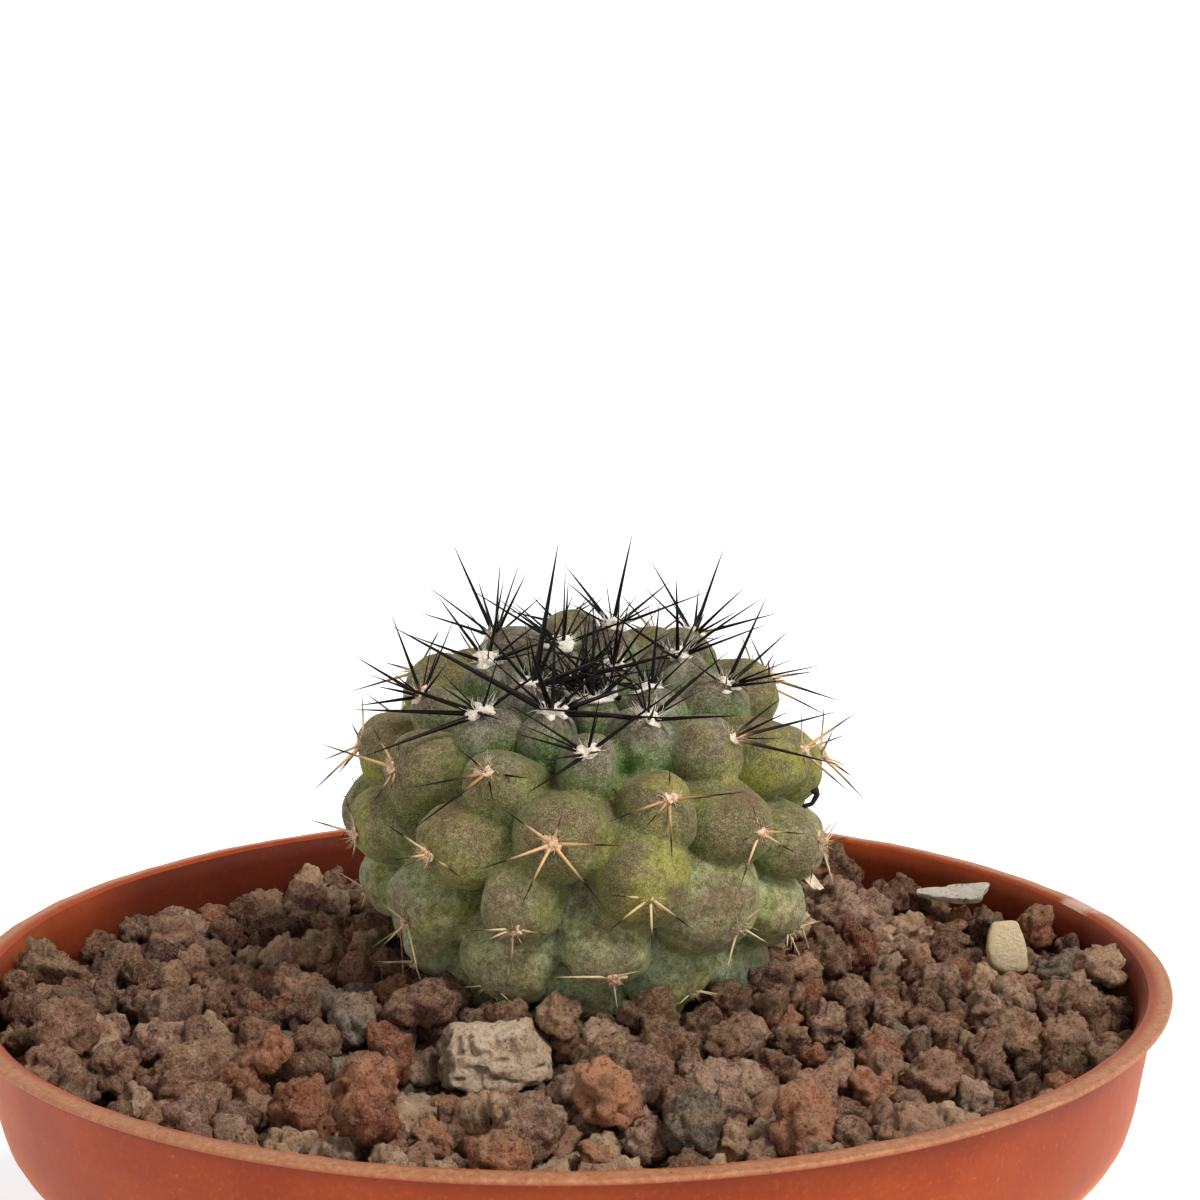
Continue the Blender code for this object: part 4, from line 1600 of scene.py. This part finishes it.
def carve(piece: bpy.types.Object, cutter: bpy.types.Mesh) -> None:
    """Cut a shape out of a piece.

    Args:
        piece: The piece.
        cutter: The mesh that is cut out, which is used up.
    """
    tool = placed("cutter", cutter)
    modifier = piece.modifiers.new("cut", "BOOLEAN")
    modifier.operation = "DIFFERENCE"
    modifier.solver = "EXACT"
    modifier.object = tool
    bpy.context.view_layer.update()
    carved = bpy.data.meshes.new_from_object(piece.evaluated_get(bpy.context.evaluated_depsgraph_get()))
    carved.name = piece.name
    piece.modifiers.clear()
    piece.data = carved
    carved.shade_smooth()
    carved.set_sharp_from_angle(angle=math.radians(50.0))
    bpy.data.objects.remove(tool, do_unlink=True)
    bpy.data.meshes.remove(cutter)


@dataclass(frozen=True)
class Stone:
    """One stone that stands apart in colour from the grit.

    It lies at its node's middle, but for its lift. Its size is the whole stone's; its turn about Z and its
    tilt are in degrees, and slim, curl and taper shape one end, a rising edge and the top.
    """

    node: str
    seed: int
    size: Triple
    turn: float
    lift: Triple
    tones: tuple[Colour, Colour, Colour]
    crisp: float
    rugged: float
    dust: Colour = tone(242, 224, 196)
    cuts: int = 30
    slim: float = 0.0
    curl: float = 0.0
    tilt: float = 0.0
    taper: float = 0.0

    def build(self) -> bpy.types.Object:
        """Make the stone."""
        low, high = node_box(self.node)
        points, faces = ball(self.cuts)
        rng = np.random.default_rng(self.seed)
        points = hewn(points, rng, least=0.98, cuts=12, crisp=self.crisp, squared=True)
        half = np.array(self.size) / 2
        points = points / np.abs(points).max(axis=0) * half
        rough = LUMPS.at(points / 1.9 + self.seed) - 0.5
        crumbs = PORES.at(points / 0.7 + self.seed) - 0.5
        pores = ease(0.58, 0.76, LUMPS.at(points / 0.8 - self.seed))
        points = points + unit(points) * (self.rugged * (1.1 * rough + 0.6 * crumbs - 0.5 * pores))[:, None]
        points = points / np.abs(points).max(axis=0) * half
        along = points[:, 0] / half[0]
        thin_end = ease(0.6, -1.0, along)
        points[:, 1] *= 1.0 - self.slim * thin_end
        points[:, 2] = points[:, 2] * (1.0 - 0.6 * self.slim * thin_end) + self.curl * along**2 * (along > 0)
        points[:, :2] *= (1.0 - self.taper * ease(-0.2, 1.0, points[:, 2] / half[2]))[:, None]
        turn = Matrix.Rotation(math.radians(self.turn), 3, "Z")
        tilt = Matrix.Rotation(math.radians(self.tilt), 3, "X")
        shape = Shape()
        shape.add((low + high) / 2 + self.lift + points @ np.array(turn @ tilt).T, faces, shade=0.6)
        finish = StoneFinish(
            self.node, self.tones, self.dust, top_light_and_dust=0.35,
            pores=min(self.rugged, 0.9), patchy=0.3 * self.rugged,
        )
        return shape.build(self.node + "_finished", finish.material(), self.node, self.node)


STONES = (
    Stone(
        "pale_stone", seed=4, size=(9.6, 6.0, 5.6), turn=6.0, lift=(0.3, 0.0, 0.4),
        tones=(tone(150, 112, 86), tone(234, 200, 164), tone(254, 234, 206)), crisp=16.0, rugged=0.9,
        cuts=44, taper=0.12,
    ),
    Stone(
        "cream_chip", seed=7, size=(3.6, 2.8, 5.0), turn=5.0, lift=(-0.3, -0.1, 0.1),
        tones=(tone(252, 214, 160), tone(255, 228, 178), tone(255, 238, 200)), crisp=6.5, rugged=0.1,
        tilt=-14.0, taper=0.24,
    ),
    Stone(
        "white_flake", seed=9, size=(7.0, 3.2, 1.2), turn=-12.0, lift=(1.0, -0.2, 0.45),
        tones=(tone(140, 124, 104), tone(240, 226, 204), tone(255, 246, 230)), crisp=12.0, rugged=0.45,
        cuts=40, slim=0.75, curl=0.4, tilt=14.0,
    ),
)


def hewn(
    directions: Array, rng: np.random.Generator, least: float, cuts: int, crisp: float,
    squared: bool = False,
) -> Array:
    """Cut flats round a ball, as on broken stone.

    Args:
        directions: The ball's points.
        rng: The seeded draw.
        least: How near the middle a flat may lie, as a share of the radius.
        cuts: How many flats there are.
        crisp: How sharp the edges between them are.
        squared: Whether six of the flats stand about square, as on a block.

    Returns:
        The moved points.
    """
    sidelong, out_of_reach = 0.05, 9.0
    normals = unit(rng.normal(size=(cuts, 3)))
    offsets = rng.uniform(least, 1.0, cuts)
    if squared:
        normals[:6] = unit(np.vstack((np.eye(3), -np.eye(3))) + rng.normal(scale=0.1, size=(6, 3)))
        offsets[:6] = rng.uniform(0.6, 0.66, 6)
    facing = directions @ normals.T
    reach = np.where(facing > sidelong, offsets / np.maximum(facing, sidelong), out_of_reach)
    reach = np.column_stack((reach, np.ones(len(directions))))
    radius = -np.log(np.exp(-crisp * reach).sum(axis=1)) / crisp
    return directions * radius[:, None]


@dataclass
class GritBed:
    """The grit: a dark bed as painted shade in the gaps, and loose grains that settle on it between plant,
    stones and pan.
    """

    growth: Growth
    stem: Stem
    count: int = 1180
    seed: int = 11
    # Radii of the grains: the usual one, how far they spread, the least and the greatest
    usual: float = 1.55
    spread: float = 0.27
    least: float = 0.75
    greatest: float = 2.7
    # The bed's tones, darker than any grain's, are painted shade in the gaps between grains
    tones: tuple[Colour, Colour, Colour] = (tone(40, 28, 24), tone(66, 48, 40), tone(98, 74, 62))
    bed_top: float = 25.4
    mound: float = 1.4
    mound_reach: float = 26.0
    depth: float = 2.3
    wall: float = 46.9
    sight: float = 0.33
    foot_room: float = 0.2
    # Where the grains start, over the bed, and how far the landmarks stand out of it or sink in by size
    drop: Pair = (1.0, 7.5)
    marked_lift: float = 2.3
    marked_sunk: float = 0.55
    # Grains towards the viewer painted paler, as painted light: by how much, and between which places
    front_light: float = 0.28
    front_light_from: Pair = (-16.0, -38.0)
    shades: Pair = (0.15, 0.85)
    # How the grains settle: rounds, those at the end that free the landmarks, rounds from one search for
    # neighbours to the next, step down, share of each overlap that is undone, and how close they may lie
    rounds: int = 260
    freed: int = 40
    search: int = 8
    sink: float = 0.07
    undo: float = 0.4
    packing: float = 0.94
    neighbourhood: float = 0.8
    detail: float = 0.4
    hidden_detail: float = 0.7
    upward: float = 0.3
    stretch: Triple = (1.2, 1.06, 0.94)
    # Relief of a grain: knobs as a share of its radius, then crumbs, fizz and pits in mm
    knobs: float = 0.24
    crumbs: float = 0.85
    fizz: float = 0.75
    pits: float = 0.45
    # The hole for the plant's foot: radius and height in the plant's frame
    hole: tuple[Pair, ...] = (
        (0.0, -6.6), (9.8, -6.6), (11.6, -2.2), (12.4, 0.4), (15.0, 1.6), (16.4, 5.0), (0.0, 5.0)
    )
    # Heaps and hollows: x, y, height and reach
    heaps: tuple[tuple[float, float, float, float], ...] = (
        (-26.0, 37.0, -2.5, 13.0),
        (-47.0, 3.0, 2.6, 11.0),
        (34.0, 32.0, 1.2, 11.0),
        (45.0, 5.0, 0.9, 12.0),
    )
    # Grains that stand out, by place: x, y, half size, kind
    landmarks: tuple[tuple[float, float, float, Lava], ...] = (
        (-28.5, -18.5, 3.9, Lava.TAN), (-37.5, -11.0, 3.3, Lava.TAN), (-40.0, -5.5, 2.6, Lava.MAUVE),
        (-23.5, -8.0, 3.0, Lava.RUST), (-31.5, -5.5, 3.0, Lava.MAUVE), (-35.5, -16.5, 2.2, Lava.TAN),
        (-21.5, -19.5, 2.3, Lava.TAN), (-18.5, -13.5, 2.3, Lava.RUST), (-17.0, -6.0, 1.9, Lava.RUST),
        (-16.0, -20.5, 2.4, Lava.GREY), (-5.2, -22.6, 2.9, Lava.TAN), (-11.6, -25.8, 2.7, Lava.MAUVE),
        (-6.0, -28.5, 2.2, Lava.TAN), (2.6, -16.2, 2.7, Lava.MAUVE), (0.8, -25.6, 2.1, Lava.MAUVE),
        (6.2, -22.4, 2.5, Lava.RUST), (9.0, -15.8, 2.3, Lava.TAN), (13.0, -11.6, 2.3, Lava.MAUVE),
        (31.0, 2.0, 2.3, Lava.MAUVE), (41.0, -4.0, 2.9, Lava.TAN), (24.0, -24.0, 2.2, Lava.RUST),
        (30.5, -18.0, 2.2, Lava.RUST), (24.0, -17.5, 2.3, Lava.RUST), (19.5, -1.5, 2.3, Lava.RUST),
        (27.0, 24.0, 2.7, Lava.MAUVE), (39.0, 28.6, 1.9, Lava.TAN), (17.0, 33.0, 2.2, Lava.UMBER),
    )

    def level(self, points: Array) -> Array:
        """Height of the bed, heaped up a little round the plant.

        Args:
            points: Where it is read.

        Returns:
            The heights.
        """
        away = np.hypot(points[:, 0] - self.growth.ground[0], points[:, 1] - self.growth.ground[1])
        height = self.bed_top + self.mound * np.exp(-((away / self.mound_reach) ** 2))
        for x, y, rise, reach in self.heaps:
            away_squared = (points[:, 0] - x) ** 2 + (points[:, 1] - y) ** 2
            height = height + rise * np.exp(-(away_squared / reach**2))
        return height

    def fixed(self) -> Array:
        """Balls that stand for the stones while the grains settle, as rows of place and radius."""
        balls = []
        for stone in STONES:
            low, high = node_box(stone.node)
            size = high - low
            radius = max(0.5 * min(size[1], size[2]), 1.0)
            for share in np.linspace(-1.0, 1.0, 4):
                middle = (low + high) / 2
                middle[0] += share * max(size[0] / 2 - radius, 0.0)
                balls.append((*middle, radius))
        return np.array(balls)

    def scatter(self, rng: np.random.Generator) -> tuple[Array, Array]:
        """Lay the grains over the bed, the landmarks first.

        Args:
            rng: The seeded draw.

        Returns:
            Their middles and their radii.
        """
        marked = np.array([mark[:3] for mark in self.landmarks])
        radii = rng.lognormal(math.log(self.usual), self.spread, self.count)
        radii = np.clip(radii, self.least, self.greatest)
        radii[: len(marked)] = marked[:, 2]
        away = (self.wall - 1.5) * np.sqrt(rng.random(self.count))
        turn = rng.uniform(0.0, math.tau, self.count)
        places = np.stack((away * np.cos(turn), away * np.sin(turn), np.zeros(self.count)), axis=1)
        places[: len(marked), :2] = marked[:, :2]
        places[:, 2] = self.level(places) - self.depth + rng.uniform(*self.drop, self.count)
        level = self.level(places[: len(marked)])
        places[: len(marked), 2] = level + self.marked_lift - self.marked_sunk * marked[:, 2]
        return places, radii

    def push_apart(self, both: Array, first: Array, second: Array, rest: Array) -> None:
        """Push neighbours apart where they overlap.

        Args:
            both: The middles of the grains and stones, which are moved.
            first: Numbers of one of each two neighbours.
            second: Numbers of the other.
            rest: How far apart they may lie.
        """
        apart = both[first] - both[second]
        distance = np.maximum(np.linalg.norm(apart, axis=1), 1e-6)
        push = apart * (self.undo * np.maximum(rest - distance, 0.0) / distance)[:, None]
        for axis in range(3):
            both[:, axis] += np.bincount(first, push[:, axis], len(both))
            both[:, axis] -= np.bincount(second, push[:, axis], len(both))

    def keep_in(self, places: Array, radii: Array) -> None:
        """Keep the grains above the bed, inside the pan and out of the plant.

        Args:
            places: The middles of the grains, which are moved.
            radii: Their radii.
        """
        places[:, 2] = np.maximum(places[:, 2], self.level(places) - self.depth + 0.7 * radii)
        away = np.hypot(places[:, 0], places[:, 1])
        places[:, :2] *= np.minimum(1.0, (self.wall - radii) / np.maximum(away, 1e-6))[:, None]
        inner = self.growth.local(places)
        distance = self.stem.distance(inner)
        room = 1.08 * radii + 0.1
        close = distance < room
        push = self.stem.slope(inner[close]) * (room - distance)[close, None]
        places[close] += push @ self.growth.place()[:3, :3].T

    def settle(self) -> tuple[Array, Array, list[Lava]]:
        """Let the grains sink until each rests on its neighbours.

        Returns:
            Their middles, their radii and their kinds.
        """
        rng = np.random.default_rng(self.seed)
        places, radii = self.scatter(rng)
        kinds = [mark[3] for mark in self.landmarks]
        pinned = places[: len(kinds)].copy()
        stones = self.fixed()
        every = np.concatenate((radii, stones[:, 3]))
        for number in range(self.rounds):
            both = np.concatenate((places, stones[:, :3]))
            if number % self.search == 0:
                gap = np.linalg.norm(both[:, None] - both[None], axis=-1)
                near = gap < every[:, None] + every[None] + self.neighbourhood
                first, second = np.nonzero(np.triu(near, 1))
                rest = self.packing * (every[first] + every[second])
            both[: self.count, 2] -= self.sink
            for _ in range(2):
                self.push_apart(both, first, second, rest)
            places = both[: self.count]
            self.keep_in(places, radii)
            if number < self.rounds - self.freed:
                places[: len(kinds)] = pinned
            self.clear_view(places, radii)
        names = list(Lava)
        shares = np.array([kind.value[1] for kind in names])
        drawn = rng.choice(len(names), self.count - len(kinds), p=shares / shares.sum())
        return places, radii, kinds + [names[k] for k in drawn]

    def clear_view(self, places: Array, radii: Array) -> None:
        """Press down the grains that would stand before a stone.

        Args:
            places: The middles of the grains, which are moved.
            radii: Their radii.
        """
        for stone in STONES:
            low, high = node_box(stone.node)
            ahead = low[1] - places[:, 1]
            before = (ahead > -radii) & (ahead < 9.0)
            before &= np.abs(places[:, 0] - (low[0] + high[0]) / 2) < (high[0] - low[0]) / 2 + 0.7 * radii
            limit = low[2] + self.foot_room + self.sight * ahead - 0.9 * radii
            places[:, 2] = np.where(before, np.minimum(places[:, 2], limit), places[:, 2])

    def covered(self, places: Array, radii: Array) -> Array:
        """Find the grains that others lie over.

        Args:
            places: The middles of the grains.
            radii: Their radii.

        Returns:
            Which of them are covered.
        """
        side = np.linalg.norm(places[:, None, :2] - places[None, :, :2], axis=-1)
        over = (places[None, :, 2] - places[:, None, 2]) > 0.9 * radii[:, None]
        return (over & (side < radii[None] + 0.4 * radii[:, None])).sum(axis=1) >= 2

    def grain(self, radius: float, detail: float, rng: np.random.Generator) -> tuple[Array, Array]:
        """Break, crumble and pit one grain.

        Args:
            radius: Its radius.
            detail: Size of its faces.
            rng: The seeded draw.

        Returns:
            Its points about its middle, and its faces.
        """
        points, faces = ball(max(3, round(math.tau * radius / (4.0 * detail))))
        turn = tumbled(rng)
        points = hewn(unit(points + self.upward * UP) @ turn, rng, least=0.66, cuts=10, crisp=10.0)
        points = points * radius * np.array(self.stretch) * rng.uniform(0.88, 1.12, 3)
        shift = rng.uniform(0.0, 30.0, 3)
        knobs = LUMPS.at(points / (0.9 * radius) + shift) - 0.5
        crumbs = LUMPS.at(points / 0.75 - shift) - 0.5
        fizz = PORES.at(points / 0.42 + shift) - 0.5
        pits = ease(0.56, 0.74, PORES.at(points / 0.9 - shift))
        push = self.knobs * radius * knobs + self.crumbs * crumbs + self.fizz * fizz - self.pits * pits
        return (points + unit(points) * push[:, None]) @ turn.T, faces

    def build(self) -> list[bpy.types.Object]:
        """Make the bed and a piece for each kind of grain."""
        places, radii, kinds = self.settle()
        covered = self.covered(places, radii)
        rng = np.random.default_rng(self.seed + 1)
        shapes = {kind: Shape() for kind in Lava}
        for place, radius, kind, hidden in zip(places, radii, kinds, covered):
            points, faces = self.grain(radius, self.hidden_detail if hidden else self.detail, rng)
            points = points + place
            away = np.hypot(points[:, 0], points[:, 1])
            points[:, :2] *= np.minimum(1.0, (self.wall + 0.2) / np.maximum(away, 1.0))[:, None]
            # Grains towards the viewer are paler: painted light
            pale = self.front_light * float(ease(*self.front_light_from, place[1]))
            shapes[kind].add(points, faces, shade=float(rng.uniform(*self.shades)) + pale)
        pieces = []
        for kind, shape in shapes.items():
            name = kind.value[0]
            finish = StoneFinish("lava_" + name, kind.value[2])
            pieces.append(shape.build("grit_" + name, finish.material(), "grit", "grit"))
        pieces.append(self.bed())
        return pieces

    def bed(self) -> bpy.types.Object:
        """The fill under the grains, dark as painted shade in the gaps between them, rough, with a hole for
        the plant's foot.
        """
        pan = Pan()
        low = self.bed_top - self.depth
        side = [(r, z) for r, z in pan.arc_points(pan.wall + 0.3, 10) if z < low + 1.0]
        top = low + 1.2
        edge = side[-1][0]
        rings = [(edge * share, top) for share in np.linspace(1.0, 0.02, 40)]
        points, blocks = turned([(0.0, side[0][1]), *side, *rings, (0.0, top)], 160)
        upper = points[:, 2] > top - 0.1
        rough = Ripple(61).at(points / 1.3) + 0.5 * Ripple(62).at(points / 0.5)
        lift = self.level(points) - self.bed_top + 1.3 * (rough - 0.75)
        points[:, 2] = np.where(upper, points[:, 2] + lift, points[:, 2])
        shape = Shape()
        shape.add(points, blocks, shade=0.1)
        piece = shape.build("grit_bed", StoneFinish("lava_bed", self.tones).material(), "grit", "grit")
        points, blocks = turned(self.hole, 64)
        points = points * (1.0 - self.growth.oval, 1.0 + self.growth.oval, 1.0)
        mesh = bpy.data.meshes.new("hole")
        faces = [face for block in blocks for face in block.tolist()]
        mesh.from_pydata((self.growth.world(points) * MM).tolist(), [], faces)
        carve(piece, mesh)
        return piece


@dataclass
class Remains:
    """Dead scraps: papery skins at the plant's foot and a black stub under one old tubercle."""

    growth: Growth
    stem: Stem
    seed: int = 6
    scraps: int = 10
    middle: Triple = (21.0, 6.0, 33.2)
    spread: Triple = (1.5, 2.0, 2.2)
    thickness: float = 0.12
    lengths: Pair = (0.7, 1.6)
    widths: Pair = (0.3, 0.8)
    curls: Pair = (0.3, 0.9)
    shades: tuple[float, ...] = (0.62, 0.3, 0.45, 0.15, 0.8)
    # The stub: its areole, and its bends as steps out, across and up from its foot
    stub_areole: int = 27
    stub_bends: tuple[Triple, ...] = (
        (0.0, 0.0, 0.0), (0.8, 0.1, 0.2), (1.5, 0.0, 0.1), (2.2, 0.1, 0.5), (2.3, 0.1, 1.0)
    )
    # Shed spines, dry and pale: foot, end and greatest sag
    shed: tuple[tuple[Triple, Triple, float], ...] = (
        ((21.3, 10.0, 34.4), (21.0, 7.0, 27.6), -0.2),
        ((20.4, 5.0, 33.0), (21.4, 2.6, 27.4), -0.2),
        ((-14.6, 2.9, 30.4), (-11.2, -3.6, 27.4), 0.2),
        ((-15.8, 3.5, 31.8), (-13.4, -2.4, 27.6), 0.2),
    )

    def scrap(self, shape: Shape, rng: np.random.Generator, shade: float) -> None:
        """Add one curled scrap of dry skin.

        Args:
            shape: What it is added to.
            rng: The seeded draw.
            shade: How pale it is, from 0 to 1.
        """
        count = 12
        line = np.linspace(-1.0, 1.0, count)
        u, v = np.meshgrid(line, line, indexing="ij")
        length, width = rng.uniform(*self.lengths), rng.uniform(*self.widths)
        narrow = width * (1.0 - 0.55 * u**2)
        curl = rng.uniform(*self.curls)
        sheet = np.stack((u * length, v * narrow, curl * (u**2 + 0.6 * v**2) * width), axis=-1)
        sheet = sheet.reshape(-1, 3)
        sheet = sheet + (Ripple(71).at(sheet * 1.6 + rng.uniform(0, 20, 3)) - 0.5)[:, None] * 0.5
        turn = tumbled(rng)
        at = self.growth.local((np.array(self.middle) + rng.uniform(-1.0, 1.0, 3) * self.spread)[None])
        at = self.growth.world(self.stem.drawn_on(at, 0.3))[0]
        under = sheet - (0.0, 0.0, self.thickness)
        points = np.concatenate((sheet, under)) @ turn.T + at
        grid = np.arange(count * count).reshape(count, count)
        quads = np.stack((grid[:-1, :-1], grid[1:, :-1], grid[1:, 1:], grid[:-1, 1:]), axis=-1)
        quads = quads.reshape(-1, 4)
        edge = np.concatenate((grid[0, :-1], grid[:-1, -1], grid[-1, :0:-1], grid[:0:-1, 0]))
        after = np.roll(edge, -1)
        below = count * count
        rim = np.stack((edge, after, after + below, edge + below), axis=1)
        shape.add(points, np.concatenate((quads, quads[:, ::-1] + below, rim)), shade=shade)

    def stub(self, shape: Shape) -> None:
        """Add the black stub.

        Args:
            shape: What it is added to.
        """
        spot = self.stem.spots[self.stub_areole]
        start = (spot.point - spot.out * 2.6 - spot.up * 4.2 + spot.across * 0.3)[None]
        axes = np.stack((spot.out, spot.across, spot.up))
        path = self.growth.world(self.stem.drawn_on(start, -0.2)[0] + np.array(self.stub_bends) @ axes)
        count, last = 25, len(path) - 1
        steps = np.linspace(0, last, count)
        fine = np.stack([np.interp(steps, range(last + 1), column) for column in path.T], axis=1)
        fine = fine + 0.16 * np.stack([Ripple(seed).at(fine / 0.8) - 0.5 for seed in (72, 73, 74)], axis=1)
        knob = 0.16 * ease(0.7, 1.0, np.linspace(0.0, 1.0, count))
        radii = 0.2 + 0.1 * (Ripple(75).at(fine / 0.5) - 0.5) + knob
        points, faces = tube(fine, radii, 9)
        shape.add(points, faces, shade=0.02)

    def shed_spine(self, shape: Shape, start: Array, end: Array, sag: float) -> None:
        """Add one dry spine.

        Args:
            shape: What it is added to.
            start: Its thick end, which is drawn onto the stem's skin.
            end: Its point.
            sag: How far it bends up or down in its middle.
        """
        start = self.growth.world(self.stem.drawn_on(self.growth.local(start[None])))[0]
        share = np.linspace(0.0, 1.0, 9)[:, None]
        path = start + (end - start) * share + UP * (4.0 * sag * share * (1.0 - share))
        points, faces = tube(path, 0.1 * (1.0 - 0.75 * share[:, 0]), 5)
        shape.add(points, faces, shade=0.6)

    def build(self) -> bpy.types.Object:
        """Make all scraps as one piece."""
        shape = Shape()
        rng = np.random.default_rng(self.seed)
        for k in range(self.scraps):
            self.scrap(shape, rng, self.shades[k % len(self.shades)])
        for start, end, sag in self.shed:
            self.shed_spine(shape, np.array(start), np.array(end), sag)
        self.stub(shape)
        return shape.build("dry_remains", DryFinish().material(), "cactus", "cactus")


@dataclass(frozen=True)
class Studio:
    """A pale floor, soft light from above and a camera at the photograph's angle."""

    camera_at: Triple = (0.00315, -0.2798, 0.1144)
    pitch: float = math.radians(90.0 - 10.79)
    roll: float = math.radians(0.3)
    lens: float = 105.0
    sensor: float = 36.0
    floor_size: float = 16.0
    light_from: Triple = (0.50, -0.36, 0.79)
    light_strength: float = 3.0
    light_angle: float = math.radians(22.0)
    level: float = 1.5
    overhead: float = 0.33
    dims: Pair = (0.1, 0.6)
    floor_tone: Colour = (0.65, 0.65, 0.65)
    floor_glow: float = 0.6

    def floor(self) -> None:
        """Lay the floor."""
        half = self.floor_size / 2
        mesh = bpy.data.meshes.new("floor")
        corners = [(x * half, y * half, 0.0) for x, y in ((-1, -1), (1, -1), (1, 1), (-1, 1))]
        mesh.from_pydata(corners, [], [(0, 1, 2, 3)])
        pale = Paint("pale_floor").done(
            Base_Color=self.floor_tone, Roughness=0.9, Emission_Color=(1.0, 1.0, 1.0),
            Emission_Strength=self.floor_glow,
        )
        mesh.materials.append(pale)
        placed("floor", mesh)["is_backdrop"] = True

    def lamp(self) -> None:
        """Hang one large soft light above the viewer's right shoulder."""
        light = bpy.data.lights.new("soft_light", "SUN")
        light.energy = self.light_strength
        light.angle = self.light_angle
        lamp = placed("soft_light", light)
        lamp.rotation_euler = (-Vector(self.light_from)).to_track_quat("-Z", "Y").to_euler()

    def surroundings(self) -> None:
        """Put a white tent round the object, dimmer overhead than at the level of the floor."""
        world = bpy.data.worlds.new("white_tent")
        world.use_nodes = True
        nodes, links = world.node_tree.nodes, world.node_tree.links
        split = nodes.new("ShaderNodeSeparateXYZ")
        links.new(nodes.new("ShaderNodeTexCoord").outputs["Generated"], split.inputs[0])
        fall = nodes.new("ShaderNodeMapRange")
        fall.interpolation_type = "SMOOTHSTEP"
        values = (*self.dims, self.level, self.overhead)
        for name, value in zip(("From Min", "From Max", "To Min", "To Max"), values):
            fall.inputs[name].default_value = value
        links.new(split.outputs["Z"], fall.inputs["Value"])
        links.new(fall.outputs["Result"], nodes["Background"].inputs["Strength"])
        nodes["Background"].inputs["Color"].default_value = (1.0, 1.0, 1.0, 1.0)
        bpy.context.scene.world = world

    def build(self) -> None:
        """Set up the floor, the light and the camera."""
        self.floor()
        self.lamp()
        self.surroundings()
        bpy.context.scene.view_settings.view_transform = "Standard"
        data = bpy.data.cameras.new("camera")
        data.lens = self.lens
        data.sensor_width = self.sensor
        camera = placed("camera", data)
        camera.location = self.camera_at
        camera.rotation_euler = (self.pitch, self.roll, 0.0)
        bpy.context.scene.camera = camera


def write_sizes() -> None:
    """Measure the box of the solids and of the finished model."""
    boxes = {"cad": cad_box, "visual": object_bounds()}
    {name: [list(corner) for corner in box] for name, box in boxes.items()}


def main() -> None:
    """Build the object from its foot up, then the studio round it."""
    logging.basicConfig(level=logging.INFO, format="%(message)s")
    growth = Growth()
    stem = Stem(growth)
    Pan().build()
    GritBed(growth, stem).build()
    for stone in STONES:
        stone.build()
    stem.build()
    Wool(growth, stem).build()
    Spines(growth, stem).build()
    Remains(growth, stem).build()
    Studio().build()
    write_sizes()


if __name__ == "__main__":
    main()
